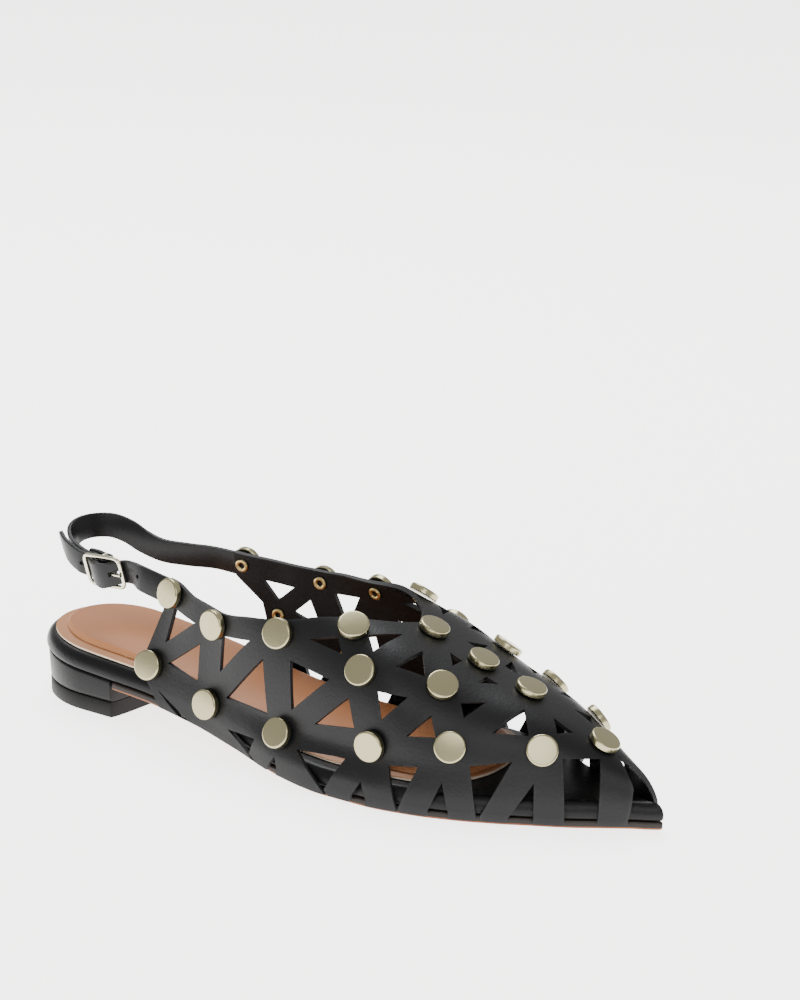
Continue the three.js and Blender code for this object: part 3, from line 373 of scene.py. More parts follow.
def blend(tree, kind, factor, first, second):
    mix = tree.nodes.new("ShaderNodeMix")
    mix.data_type = kind
    slots = {"FLOAT": (0, 2, 3, 0), "RGBA": (0, 6, 7, 2)}[kind]
    for slot, value in zip(slots, (factor, first, second)):
        if isinstance(value, bpy.types.NodeSocket):
            tree.links.new(value, mix.inputs[slot])
        else:
            mix.inputs[slot].default_value = value
    return mix.outputs[slots[3]]


def leather(name, dark, light, edge_wear_and_highlight_color, roughness, scale=1100.0, depth=0.12, shine=0.5):
    material, shader = principled(name, roughness[0])
    tree = material.node_tree
    grain = tree.nodes.new("ShaderNodeGroup")
    grain.node_tree = GRAIN
    set_inputs(grain, {"Scale": scale, "Depth": depth})
    wear_and_highlight = tree.nodes.new("ShaderNodeGroup")
    wear_and_highlight.node_tree = EDGE_WEAR_AND_HIGHLIGHT
    dye = blend(tree, "RGBA", grain.outputs["Cloud"], (*dark, 1), (*light, 1))
    # The edge colour is partly wear and partly painted highlight.
    color = blend(tree, "RGBA", wear_and_highlight.outputs["Mask"], dye, (*edge_wear_and_highlight_color, 1))
    tree.links.new(color, shader.inputs["Base Color"])
    tree.links.new(blend(tree, "FLOAT", grain.outputs["Cloud"], *roughness), shader.inputs["Roughness"])
    tree.links.new(grain.outputs["Normal"], shader.inputs["Normal"])
    shader.inputs["Specular IOR Level"].default_value = shine
    return material


def metal(name, color, roughness):
    material, shader = principled(name, roughness, 1.0)
    shader.inputs["Base Color"].default_value = (*color, 1)
    return material


black_leather = leather("black_leather", (0.0022, 0.0023, 0.0026), (0.0042, 0.0045, 0.0052),
                        (0.014, 0.0148, 0.016), (0.46, 0.36), shine=0.22)
footbed_leather = leather("footbed_leather", (0.0018, 0.0018, 0.002), (0.0032, 0.0032, 0.0036),
                          (0.006, 0.006, 0.0065), (0.42, 0.34), shine=0.18)
cut_edge = leather("cut_edge", (0.004, 0.004, 0.0042), (0.008, 0.008, 0.0084),
                   (0.03, 0.03, 0.031), (0.6, 0.55), scale=2200.0, shine=0.25)
tan_leather = leather("tan_leather", (0.36, 0.13, 0.045), (0.44, 0.175, 0.07),
                      (0.55, 0.3, 0.15), (0.55, 0.48), scale=900.0, depth=0.08, shine=0.3)
pale_edge = leather("pale_edge", (0.55, 0.42, 0.3), (0.66, 0.54, 0.42),
                    (0.7, 0.6, 0.48), (0.7, 0.6), scale=2400.0, depth=0.3)
# The outsole's rust brown is darkened with painted shade, for the shade it sits in under the legs.
shaded_sole_leather = leather("shaded_sole_leather", (0.12, 0.035, 0.01), (0.2, 0.06, 0.016),
                       (0.1, 0.04, 0.016), (0.6, 0.5), scale=1800.0, depth=0.1, shine=0.3)
# The outsole's near-black edge colour is partly edge ink and partly painted shade.
sole_edge_ink_and_shade = leather("sole_edge_ink_and_shade", (0.006, 0.004, 0.003), (0.01, 0.006, 0.0045),
                     (0.02, 0.012, 0.009), (0.5, 0.45), scale=1800.0, depth=0.1, shine=0.3)
top_rubber = leather("top_rubber", (0.0015, 0.0015, 0.0015), (0.003, 0.003, 0.003),
                     (0.008, 0.008, 0.008), (0.62, 0.56), scale=2600.0, depth=0.1, shine=0.18)
pale_metal = metal("pale_metal", (0.34, 0.31, 0.185), 0.24)
bright_metal = metal("bright_metal", (0.62, 0.59, 0.45), 0.18)
brass = metal("brass", (0.56, 0.44, 0.2), 0.3)
print("materials:", len(bpy.data.materials))

# %% [markdown]
# ## Footbed, outsole, insole and heel
# The flat pieces of a shoe are cut to one outline, drawn in or out, and stacked. Each is built as
# a stack of levels: the outline at a few heights, drawn in to round its edge.

# %% Outlines and levels
HEEL_LENGTH = 47.5
HEEL_ROUND = 31.3
TOE_ROUND = 6
ROUND_STEPS = 24
LENGTH_STEPS = 130
STACK_SHARP = 50


def plan_stations(inset, start, end, front_round):
    round_back = start == 0
    back = inset if round_back else start
    front = end - inset if end == FOOTBED_LENGTH else end
    body_start = HEEL_ROUND if round_back else start
    s, share = [], []
    if round_back:
        angle = (np.arange(ROUND_STEPS) + 0.1) / (ROUND_STEPS + 0.1) * math.pi / 2
        s.append(HEEL_ROUND - (HEEL_ROUND - back) * np.cos(angle))
        share.append(np.sin(angle))
    s.append(np.linspace(body_start, front - front_round, LENGTH_STEPS + 1))
    share.append(np.ones(LENGTH_STEPS + 1))
    if front_round > 0:
        angle = (np.arange(ROUND_STEPS)[::-1] + 0.1) / (ROUND_STEPS + 0.1) * math.pi / 2
        s.append(front - front_round + front_round * np.cos(angle))
        share.append(np.sin(angle))
    return np.concatenate(s), np.concatenate(share)


def plan_level(inset, height, start=0, end=FOOTBED_LENGTH, front_round=TOE_ROUND, spread=None):
    """One level, at one height or one that follows s: up the outer side, back along the inner."""
    s, share = plan_stations(inset, start, end, front_round)
    wider = spread(s) if spread else 0
    sides = []
    for side in (OUTER, INNER):
        reach = np.maximum(0.05, (half_width(s, side) - inset + wider) * share)
        sides.append(place(s, side * reach, height(s) if callable(height) else height))
    return np.concatenate([sides[0], sides[1][::-1]])


def stack(name, levels, material):
    """Levels joined by walls, with strips of quads closing the bottom and the top."""
    levels = np.asarray(levels)
    count, around = levels.shape[:2]
    faces = ring_faces(count, around)
    top = (count - 1) * around
    for i in range(around // 2 - 1):
        across = around - 1 - i
        faces.append((i, across, across - 1, i + 1))
        faces.append((top + i, top + i + 1, top + across - 1, top + across))
    return shade_by_angle(make_object(name, levels.reshape(-1, 3), faces, material), STACK_SHARP)


# How far each level is drawn in, then its height as a share of the footbed's
FOOTBED_EDGE = [
    (2.2, 0), (0.9, 0.03), (0.5, 0.12), (0.4, 0.24), (0.45, 0.38), (0.7, 0.53), (1.1, 0.68),
    (1.7, 0.81), (2.5, 0.93), (3.3, 0.985), (4.2, 1),
]
# The same for the outsole, in millimetres over its underside; from this level on its edge is near
# black, partly edge ink and partly painted shade
OUTSOLE_EDGE = [(0.9, 0), (0.4, 0.15), (0.1, 0.45), (0, 0.9), (0, 2.2), (0.15, 2.8), (0.5, 3)]
OUTSOLE_DARK_EDGE_FROM = 3
OUTSOLE_INSET = 0.5
HEEL_FRONT_ROUND = 2
HEEL_FOOT = 6


def footbed_level(inset, share_up):
    return plan_level(inset, lambda s: sole_top(s) + FIT_GAP + FOOTBED_WALL * share_up)


def outsole_level(inset, above):
    def height(s):
        return sole_top(s) - OUTSOLE_WALL + above

    return plan_level(OUTSOLE_INSET + inset, height, start=HEEL_LENGTH + FIT_GAP)


def heel_level(inset, height):
    return plan_level(inset, height, end=HEEL_LENGTH, front_round=HEEL_FRONT_ROUND)


footbed = stack("footbed_wrapped", [footbed_level(*row) for row in FOOTBED_EDGE], footbed_leather)
outsole = stack("outsole_leather", [outsole_level(*row) for row in OUTSOLE_EDGE], shaded_sole_leather)
outsole.data.materials.append(sole_edge_ink_and_shade)
per_level = len(outsole.data.vertices) // len(OUTSOLE_EDGE)
# The outsole's upper edge levels get the near-black colour: partly ink, partly painted shade.
for polygon in outsole.data.polygons:
    if min(polygon.vertices) >= OUTSOLE_DARK_EDGE_FROM * per_level:
        polygon.material_index = 1
heel = stack("heel_covered", [
    heel_level(2.9, HEEL_FOOT + FIT_GAP), heel_level(2.4, HEEL_FOOT + FIT_GAP + 0.4),
    heel_level(2.1, HEEL_FOOT + 2), heel_level(1.2, lambda s: sole_top(s) - 1.2),
    heel_level(1.5, lambda s: sole_top(s) - 0.4), heel_level(2.4, sole_top),
], footbed_leather)
top_lift = stack("heel_top_piece", [
    heel_level(3.0, 0), heel_level(2.5, 0.5), heel_level(2.25, HEEL_FOOT - 0.5),
    heel_level(2.6, HEEL_FOOT),
], top_rubber)

# %% The insole: a thin sock and a pad on it
SOCK_END = 200
SOCK_INSET = 3.8
PAD_INSET = 8.2
SOCK_ROUND = 16
SOCK_WALL = 0.9
PAD_WALL = 2.4
# The sock is drawn in over the ball: how much, then from which share of the length and over how much
BALL_DRAW = 4
BALL_DRAW_FROM = 0.42
BALL_DRAW_OVER = 0.14


def insole_level(inset, above):
    def draw(s):
        return -BALL_DRAW * smooth_step((s / FOOTBED_LENGTH - BALL_DRAW_FROM) / BALL_DRAW_OVER)

    def height(s):
        return sole_top(s) + FIT_GAP + FOOTBED_WALL + above

    end = SOCK_END - inset / 2
    return plan_level(inset, height, end=end, front_round=SOCK_ROUND, spread=draw)


sock = stack("insole_sock_leather", [
    insole_level(SOCK_INSET, FIT_GAP), insole_level(SOCK_INSET, FIT_GAP + 0.6),
    insole_level(SOCK_INSET + 0.35, FIT_GAP + SOCK_WALL),
], tan_leather)
pad_foot = 2 * FIT_GAP + SOCK_WALL
pad = stack("insole_pad_leather", [
    insole_level(PAD_INSET, pad_foot), insole_level(PAD_INSET, pad_foot + 0.9),
    insole_level(PAD_INSET + 0.3, pad_foot + 1.6), insole_level(PAD_INSET + 0.9, pad_foot + 2.1),
    insole_level(PAD_INSET + 1.8, pad_foot + PAD_WALL),
], tan_leather)
sock.data.materials.append(pale_edge)
for polygon in sock.data.polygons:
    if abs(polygon.normal.z) < 0.7:
        polygon.material_index = 1
for piece, node in ((footbed, "footbed"), (outsole, "outsole"), (heel, "heel_block"),
                    (top_lift, "top_piece"), (sock, "insole_sock"), (pad, "insole_pad")):
    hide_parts(node)
    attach(piece, "root")
print("flat pieces:", len(footbed.data.polygons), "faces in the footbed")

# %% [markdown]
# ## The upper
# One sheet of leather, lasted over the foot form, with three-cornered windows cut between the
# studs and gaps between the legs that run down to the sole. The wall is built finely from the
# last, and cutters in the shape of each window are taken out of it, as a clicking knife would.

# %% Studs and windows of the lattice
STUDS = {
    "A1": (0.272, 0.467), "A2": (0.363, 0.426), "A3": (0.471, 0.537), "A4": (0.569, 0.709),
    "B1": (0.249, 0.139), "B2": (0.359, 0.096), "B3": (0.491, 0.15), "B4": (0.636, 0.254),
    "B5": (0.739, 0.372), "B6": (0.847, 0.54), "M1": (0.604, 0.548), "M2": (0.705, 0.653),
    "C1": (0.64, 1), "C2": (0.718, 1), "C3": (0.792, 1), "C4": (0.904, 1),
}
# The inner side is a mirror, but for these studs
INNER_STUDS = {
    "A1": (0.262, 0.467), "A2": (0.386, 0.478), "A3": (0.486, 0.588), "B1": (0.318, 0.27),
    "B2": (0.435, 0.22), "B3": (0.53, 0.19), "B5": (0.775, 0.52), "B6": (0.86, 0.56),
}
# Three studs, then the leather left along the sides that join them, in millimetres
WINDOWS = [
    ("A1", "A2", "B1", 4.4, 4.7, 3.1), ("A2", "B1", "B2", 2.8, 4.2, 6.9),
    ("A2", "A3", "B2", 3.7, 5.4, 4.0), ("A3", "B2", "B3", 3.0, 4.7, 6.6),
    ("A3", "M1", "B3", 7.2, 4.3, 5.0), ("A3", "A4", "M1", 3.5, 5.7, 2.5),
    ("A4", "C1", "M1", 4.0, 3.2, 4.2), ("M1", "B3", "B4", 5.1, 5.0, 6.0),
    ("M1", "M2", "B4", 5.7, 4.5, 4.8), ("C1", "M1", "M2", 8.5, 2.0, 5.5),
    ("C1", "C2", "M2", 6.7, 4.0, 4.6), ("M2", "B4", "B5", 6.4, 2.9, 4.4),
    ("M2", "C3", "B5", 6.0, 5.5, 5.2), ("C2", "M2", "C3", 6.5, 1.9, 6.8),
    ("C3", "B5", "B6", 7.0, 4.1, 3.7), ("C3", "B6", "C4", 5.6, 4.3, 6.2),
]
# Upper corners (along, rise) of each gap between legs, then where its foot starts and ends
LEG_GAPS = {
    "both": [
        (0.63, 0.084, 0.63, 0.084, 0.616, 0.64), (0.845, 0.285, 0.845, 0.285, 0.819, 0.849),
        (0.873, 0.555, 0.914, 0.755, 0.886, 0.925),
    ],
    "outer": [
        (0.266, 0.055, 0.266, 0.055, 0.296, 0.312), (0.398, 0.045, 0.45, 0.075, 0.434, 0.44),
        (0.49, 0.055, 0.49, 0.055, 0.477, 0.495), (0.523, 0.122, 0.6, 0.16, 0.57, 0.576),
        (0.663, 0.186, 0.703, 0.22, 0.68, 0.685), (0.736, 0.172, 0.736, 0.172, 0.722, 0.748),
        (0.766, 0.296, 0.816, 0.393, 0.781, 0.786),
    ],
    "inner": [
        (0.328, 0.12, 0.328, 0.12, 0.324, 0.346), (0.352, 0.165, 0.404, 0.14, 0.374, 0.38),
        (0.438, 0.09, 0.438, 0.09, 0.424, 0.446), (0.463, 0.115, 0.502, 0.105, 0.48, 0.486),
        (0.532, 0.07, 0.532, 0.07, 0.52, 0.54), (0.56, 0.125, 0.602, 0.15, 0.576, 0.582),
        (0.665, 0.186, 0.735, 0.3, 0.687, 0.692), (0.765, 0.24, 0.765, 0.24, 0.744, 0.768),
        (0.796, 0.36, 0.826, 0.41, 0.79, 0.796),
    ],
}
THROAT = 0.6205
COLLARS = {
    OUTER: np.array([
        (0.23, 0.53), (0.272, 0.521), (0.318, 0.483), (0.363, 0.478), (0.42, 0.526), (0.471, 0.594),
        (0.52, 0.678), (0.569, 0.772), (0.6, 0.872), (0.614, 0.955), (THROAT, 1),
    ]),
    INNER: np.array([
        (0.23, 0.53), (0.262, 0.521), (0.32, 0.508), (0.386, 0.53), (0.435, 0.576), (0.486, 0.642),
        (0.53, 0.71), (0.569, 0.782), (0.6, 0.872), (0.614, 0.955), (THROAT, 1),
    ]),
}
collar_rise = {side: reader(rows[:, 0], rows[:, 1]) for side, rows in COLLARS.items()}
# Where the open toe's edge lies, by how far up it is: share of the footbed's length on each side
TOE_EDGE_RISES = np.array([0, 0.3, 0.6, 0.85, 1])
toe_edge = {
    OUTER: reader(TOE_EDGE_RISES, np.array([0.96, 0.963, 0.962, 0.945, 0.925])),
    INNER: reader(TOE_EDGE_RISES, np.array([0.982, 0.98, 0.97, 0.946, 0.925])),
}
UPPER_BACK = 60
LEG_DROP = 1.2
BACK_COLUMNS = 90
FRONT_COLUMNS = 70
ROWS = 44
UPPER_SHARP = 40


def upper_wall(material, edge_material):
    """The uncut wall: an outer and an inner sheet, joined along the collar, sole and toe."""
    throat = THROAT * FOOTBED_LENGTH
    t = np.arange(BACK_COLUMNS) / BACK_COLUMNS
    back = UPPER_BACK + (throat - UPPER_BACK) * (0.5 * t + 0.5 * np.sin(t * math.pi / 2))
    share = np.linspace(0, 1, ROWS + 1)
    t = np.arange(FRONT_COLUMNS + 1)[:, None] / FRONT_COLUMNS
    closed = np.ones(FRONT_COLUMNS + 1)
    grids = {}
    for side in (OUTER, INNER):
        tops = np.concatenate([collar_rise[side](back / FOOTBED_LENGTH), closed])
        rise = tops[:, None] * share[None, :]
        toe = toe_edge[side](rise[BACK_COLUMNS:]) * FOOTBED_LENGTH
        s = np.concatenate([np.repeat(back[:, None], ROWS + 1, 1), throat + (toe - throat) * t])
        grids[side] = (s, rise)
    sheets = []
    for out in (0, -UPPER_WALL):
        sides = []
        for side in (OUTER, INNER):
            s, rise = grids[side]
            points = face_at(s, side, rise) + outward_at(s, side, rise) * out
            points[:, 0, 2] = sole_top(s[:, 0]) - LEG_DROP
            sides.append(points)
        sides[1][:, -1][tops == 1] = sides[0][:, -1][tops == 1]
        sheets.append(np.concatenate([sides[0], sides[1][:, ::-1]], axis=1))
    columns = 2 * (ROWS + 1)
    count = len(tops)
    layer = count * columns
    faces, edges = [], []

    def rim(a, b, turned):
        return (a, b, layer + b, layer + a) if turned else (a, layer + a, layer + b, b)

    for i in range(count - 1):
        for j in range(columns - 1):
            if j == ROWS:
                continue
            a = i * columns + j
            b = a + columns
            faces.append((a, b, b + 1, a + 1))
            faces.append((layer + a, layer + a + 1, layer + b + 1, layer + b))
        foot, far = i * columns, i * columns + columns - 1
        edges += [rim(foot, foot + columns, False), rim(far, far + columns, True)]
        if tops[i] < 1:
            a = foot + ROWS
            edges += [rim(a, a + columns, True), rim(a + 1, a + 1 + columns, False)]
    for i in (0, count - 1):
        for j in range(columns - 1):
            if j == ROWS:
                continue
            a = i * columns + j
            edges.append(rim(a, a + 1, i == 0))
    wall = make_object("upper_lattice", np.concatenate([p.reshape(-1, 3) for p in sheets]),
                       faces + edges, material)
    wall.data.materials.append(edge_material)
    for polygon in wall.data.polygons[len(faces):]:
        polygon.material_index = 1
    return merge_points(wall)


def stud_spot(name, side):
    return INNER_STUDS.get(name, STUDS[name]) if side == INNER else STUDS[name]


def stud_point(name, side):
    along, rise = stud_spot(name, side)
    return face_at(along * FOOTBED_LENGTH, side, rise)


CUT_IN = 9
CUT_OUT = 13
FOOT_OVERCUT = 4


def prism(outline, side):
    """A cutter: an outline pushed both ways along its own normal, turned to face outwards."""
    outline = np.asarray(outline)
    normal = np.zeros(3)
    for i in range(1, len(outline) - 1):
        normal += np.cross(outline[i] - outline[0], outline[i + 1] - outline[0])
    normal = unit(normal)
    if normal @ np.array([0, side, 0.8]) < 0:
        outline, normal = outline[::-1], -normal
    return np.stack([outline - normal * CUT_IN, outline + normal * CUT_OUT])


def window_cutter(window, side):
    names, margins = window[:3], window[3:]
    corners = [stud_point(name, side) for name in names]
    normal = unit(np.cross(corners[1] - corners[0], corners[2] - corners[0]))
    right = unit(corners[1] - corners[0])
    up = np.cross(normal, right)
    flat = np.array([((c - corners[0]) @ right, (c - corners[0]) @ up) for c in corners])
    starts, runs = [], []
    for i, margin in enumerate(margins):
        run = unit(flat[(i + 1) % 3] - flat[i])
        starts.append(flat[i] + np.array([-run[1], run[0]]) * margin)
        runs.append(run)
    hole = []
    for i in range(3):
        p, d = starts[i - 1], runs[i - 1]
        q, e = starts[i], runs[i]
        t = ((q - p)[0] * e[1] - (q - p)[1] * e[0]) / (d[0] * e[1] - d[1] * e[0])
        hole.append(corners[0] + right * (p + d * t)[0] + up * (p + d * t)[1])
    return prism(hole, side)


def leg_gap_cutter(gap, side):
    back, back_rise, front, front_rise, foot_back, foot_front = gap

    def at(along, rise):
        return face_at(along * FOOTBED_LENGTH, side, rise)

    top = [at(back, back_rise)]
    if front != back:
        top.append(at(front, front_rise))
    foot = [at(foot_front, 0), at(foot_back, 0)]
    down = unit((foot[0] + foot[1]) / 2 - top[0])
    low = [corner + down * FOOT_OVERCUT for corner in foot]
    return prism(top + [foot[0], low[0], low[1], foot[1]], side)


SEAM_BACK = 3
# The rear edge of the last leg on each side, from the top down: along, rise
BACK_EDGE = {
    OUTER: [(0.2345, 0.16), (0.2345, 0.11), (0.268, 0)],
    INNER: [(0.292, 0.31), (0.298, 0.24), (0.296, 0)],
}
# How far the cut behind it reaches past the upper: behind, over the top, over the seam and at the foot
CUT_BEHIND = 12
CUT_ABOVE = 6
CUT_SEAM = 4
CUT_FOOT = (4, 0, -6)


def seam_at(side):
    return stud_spot("A1", side)[0] * FOOTBED_LENGTH - SEAM_BACK


def back_cutter(side):
    seam = seam_at(side) / FOOTBED_LENGTH
    edge = [(seam, 0.6), (seam, 0.41)] + BACK_EDGE[side]
    line = [face_at(along * FOOTBED_LENGTH, side, rise) for along, rise in edge]
    low = line[-1] + np.array(CUT_FOOT)
    x = UPPER_BACK - CUT_BEHIND - TREAD_MIDDLE
    behind = np.array([x, line[0][1], line[0][2] + CUT_ABOVE])
    under = np.array([x, line[-1][1], low[2]])
    top = line[0] + np.array([0, 0, CUT_SEAM])
    return prism([behind, top] + line[1:] + [low, under], side)


def cut_away(obj, prisms, material):
    """Takes a list of prisms out of a body, with the cut faces in their own finish."""
    points, faces = [], []
    for body in prisms:
        around = body.shape[1]
        start = len(points)
        points.extend(body.reshape(-1, 3))
        loops = ring_faces(2, around)
        loops += [tuple(range(around))[::-1], tuple(around + i for i in range(around))]
        faces.extend(tuple(start + i for i in face) for face in loops)
    knife = make_object("knife", points, faces, material, smooth=False)
    cut = obj.modifiers.new("cut", "BOOLEAN")
    cut.operation = "DIFFERENCE"
    cut.solver = "MANIFOLD"
    cut.object = knife
    cut.material_mode = "TRANSFER"
    apply_modifiers(obj)
    bpy.data.objects.remove(knife)
    return obj


upper = upper_wall(black_leather, cut_edge)
knives = []
for side in (OUTER, INNER):
    knives += [window_cutter(window, side) for window in WINDOWS]
    own = LEG_GAPS["outer" if side == OUTER else "inner"]
    knives += [leg_gap_cutter(gap, side) for gap in LEG_GAPS["both"] + own]
    knives.append(back_cutter(side))
cut_away(upper, knives, cut_edge)
shade_by_angle(upper, UPPER_SHARP)
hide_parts("upper")
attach(upper, "root")
print("upper:", len(upper.data.polygons), "faces, materials",
      [m.name for m in upper.data.materials])

# %% [markdown]
# ## Studs
# The studs are turned from one bar: a flat disc with a rounded rim, whose post is riveted over a
# small brass ring on the inside. They are all alike, so one disc and one ring are turned once, and
# Geometry Nodes sets a copy on every place, facing out of the leather there.

# %% One stud and one ring
STUD_RADIUS = 5.65
STUD_WALL = 2.5
RING_RADIUS = 2.6
RING_HOLE = 1.15
TURN_STEPS = 40
DISC_SHARP = 32
RING_SHARP = 40


def turned(name, profile, material, closed=False):
    """A body of revolution round Z; a closed profile makes a ring."""
    angle = np.linspace(0, 2 * math.pi, TURN_STEPS, endpoint=False)
    rings = [[(r * math.cos(a), r * math.sin(a), z) for a in angle] for r, z in profile]
    obj = loft(name, rings, material, closed)
    return shade_by_angle(obj, DISC_SHARP)


disc = turned("stud_disc", [
    (STUD_RADIUS - 0.25, 0), (STUD_RADIUS, 0.2), (STUD_RADIUS, STUD_WALL - 0.7),
    (STUD_RADIUS - 0.06, STUD_WALL - 0.42), (STUD_RADIUS - 0.22, STUD_WALL - 0.18),
    (STUD_RADIUS - 0.5, STUD_WALL - 0.03), (STUD_RADIUS - 0.8, STUD_WALL), (0.02, STUD_WALL + 0.04),
], pale_metal)
ring = turned("stud_ring", [
    (RING_HOLE, 0), (RING_RADIUS - 0.2, 0), (RING_RADIUS, -0.2), (RING_RADIUS - 0.1, -0.55),
    (RING_RADIUS - 0.5, -0.8), (RING_HOLE + 0.35, -0.75), (RING_HOLE, -0.45),
], brass, closed=True)
print("disc and ring:", len(disc.data.polygons), len(ring.data.polygons))

# %% Where the studs sit
RIM_POINTS = 16
GIRTH_POINTS = 200
SEAT_PLAY = 0.05
RING_PLAY = 0.15


def stud_seats():
    """Each stud's CAD node, its place, the way it faces and how far it stands off."""
    seats = []
    for name, (along, rise) in STUDS.items():
        for side in ((OUTER,) if rise == 1 else (OUTER, INNER)):
            label = "centre" if rise == 1 else "outer" if side == OUTER else "inner"
            along, rise = stud_spot(name, side)
            s = along * FOOTBED_LENGTH
            normal = outward_at(s, side, rise)
            middle = face_at(s, side, rise)
            angle = np.linspace(0, 2 * math.pi, RIM_POINTS, endpoint=False)
            line = face_at(np.full(GIRTH_POINTS, s), side, np.linspace(0, 1, GIRTH_POINTS))
            reach = np.linalg.norm(np.diff(line, axis=0), axis=1).sum()
            rim = face_at(s + STUD_RADIUS * np.cos(angle), side,
                          rise + STUD_RADIUS / reach * np.sin(angle))
            lift = SEAT_PLAY + max(0, ((rim - middle) @ normal).max())
            seats.append((f"stud_{name.lower()}_{label}", middle, normal, lift))
    return seats


# %% The nodes that set them


def set_on_points():
    """Copies of one object on points, each turned to its point's own outward direction."""
    tree = bpy.data.node_groups.new("set_on_points", "GeometryNodeTree")
    group_socket(tree, "Points", "Geometry", "INPUT")
    group_socket(tree, "Piece", "Object", "INPUT")
    group_socket(tree, "Finish", "Material", "INPUT")
    group_socket(tree, "Size", "Float", "INPUT", 1.0)
    group_socket(tree, "Pieces", "Geometry", "OUTPUT")
    nodes = tree.nodes
    given, made = nodes.new("NodeGroupInput"), nodes.new("NodeGroupOutput")
    piece = nodes.new("GeometryNodeObjectInfo")
    outward = nodes.new("GeometryNodeInputNamedAttribute")
    outward.data_type = "FLOAT_VECTOR"
    outward.inputs["Name"].default_value = "outward"
    turn = nodes.new("FunctionNodeAlignRotationToVector")
    turn.axis = "Z"
    place_on = nodes.new("GeometryNodeInstanceOnPoints")
    real = nodes.new("GeometryNodeRealizeInstances")
    finish = nodes.new("GeometryNodeSetMaterial")
    join(tree, [
        (given, "Piece", piece, "Object"), (outward, "Attribute", turn, "Vector"),
        (given, "Points", place_on, "Points"), (piece, "Geometry", place_on, "Instance"),
        (turn, "Rotation", place_on, "Rotation"), (given, "Size", place_on, "Scale"),
        (place_on, "Instances", real, "Geometry"), (real, "Geometry", finish, "Geometry"),
        (given, "Finish", finish, "Material"), (finish, "Geometry", made, "Pieces"),
    ])
    return tree


SET_ON_POINTS = set_on_points()


def set_pieces(name, piece, finish, places, directions, size=1.0):
    """One plain mesh of copies; the modifier is gone before the piece joins the shoe."""
    obj = make_object(name, places, [], None)
    attribute = obj.data.attributes.new("outward", "FLOAT_VECTOR", "POINT")
    attribute.data.foreach_set("vector", np.asarray(directions, float).ravel())
    setter = obj.modifiers.new("set", "NODES")
    setter.node_group = SET_ON_POINTS
    values = {"Piece": piece, "Finish": finish, "Size": size}
    for socket in SET_ON_POINTS.interface.items_tree:
        if socket.in_out == "INPUT" and socket.name in values:
            setter[socket.identifier] = values[socket.name]
    return apply_modifiers(obj)


seats = stud_seats()
normals = np.array([normal for _, _, normal, _ in seats])
faces_at = np.array([middle + normal * (FIT_GAP + lift) for _, middle, normal, lift in seats])
backs_at = np.array([middle - normal * (UPPER_WALL + RING_PLAY) for _, middle, normal, _ in seats])
stud_heads = set_pieces("stud_heads", disc, pale_metal, faces_at, normals)
stud_rings = set_pieces("stud_rings", ring, brass, backs_at, normals)
shade_by_angle(stud_heads, DISC_SHARP)
shade_by_angle(stud_rings, RING_SHARP)
for pattern in (disc, ring):
    bpy.data.objects.remove(pattern)
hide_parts(*[node for node, _, _, _ in seats])
for piece in (stud_heads, stud_rings):
    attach(piece, "root")
print("studs:", len(seats), "faces:", len(stud_heads.data.polygons), len(stud_rings.data.polygons))

# %% [markdown]
# ## Straps
# Both straps are cut from the same leather as the upper and meet it in a skived, glued seam that
# hardly shows. The heel strap runs round the heel, over the buckle's centre bar and back inside
# itself. The other strap passes under the buckle's rear side, over the bar, under its front
# side, and its free end follows the heel. Each is swept along its own row of points.

# %% Sizes and routes of the straps
STRAP_WIDTH = 9.4
STRAP_WALL = 1.7
STRAP_ROUND = 0.45
STRAP_STEPS = 14
STRAP_SHARP = 35
SEAM_RISE = 0.467
SEAM_GAP = 0.05
BUCKLE_YAW = math.radians(-6.8)
BUCKLE_PITCH = math.radians(7.1)
BUCKLE_TILT = math.radians(14.1)


def share_point(along, across, rise):
    x = along * FOOTBED_LENGTH - TREAD_MIDDLE
    return np.array([x, across * BALL_WIDTH / 2, rise * INSTEP_HEIGHT])


BUCKLE_TURN = np.array(Matrix.Rotation(BUCKLE_YAW, 3, "Z") @ Matrix.Rotation(-BUCKLE_PITCH, 3, "Y")
                       @ Matrix.Rotation(BUCKLE_TILT, 3, "X"))
BUCKLE_AT = share_point(0.1395, -0.522, 0.874)


def in_buckle(u, v, n):
    """A point in the buckle's axes: along, up and out."""
    return BUCKLE_TURN @ np.array([u, -n, v]) + BUCKLE_AT


# Shares of the footbed's length, of half the ball width and of the instep's height, then the lean
HEEL_STRAP = [
    (0.2107, 0.545, 0.863, -15), (0.1648, 0.515, 0.846, -9), (0.1226, 0.482, 0.84, -6),
    (0.092, 0.452, 0.872, -2), (0.067, 0.407, 0.924, 3), (0.046, 0.34, 0.952, 6),
    (0.0276, 0.206, 0.956, 8), (0.0215, 0.037, 0.948, 12), (0.026, -0.1, 0.924, 14),
    (0.048, -0.254, 0.894, 14),
]
# Millimetres along, up and out in the buckle's axes
HEEL_STRAP_FOLD = [
    (-11.5, 0, -4.3), (-8, 0, -4.1), (-3, 0, -2.2), (0, 0, -0.85), (1.25, 0, -1.35), (1.75, 0, -2.6),
    (1.25, 0, -3.85), (0, 0, -4.4), (-3, 0, -4.9), (-8, 0, -6.2), (-12.5, 0, -6.6),
]
# The same, with the strap's width as a share of its own
BUCKLE_STRAP_END = [
    (-26.4, 9, -6.2, 0.4), (-23.8, 7.8, -4.2, 0.9), (-19.5, 5.4, -1.9, 1), (-14, 2.2, -1.2, 1),
    (-9.2, 0.1, -1.95, 0.97), (-6, -0.1, 0.1, 0.97), (-3, -0.4, 2.1, 1.02), (0, -0.6, 2.6, 1.11),
    (3, -0.4, 2.1, 1.02), (6, -0.1, 0.1, 0.97), (9.2, 0, -1.95, 0.97), (13, 0, -1.9, 1),
]
BUCKLE_STRAP = (0.2146, -0.557, 0.897, -9)
UPRIGHT = np.array([0, 0, 1.0])
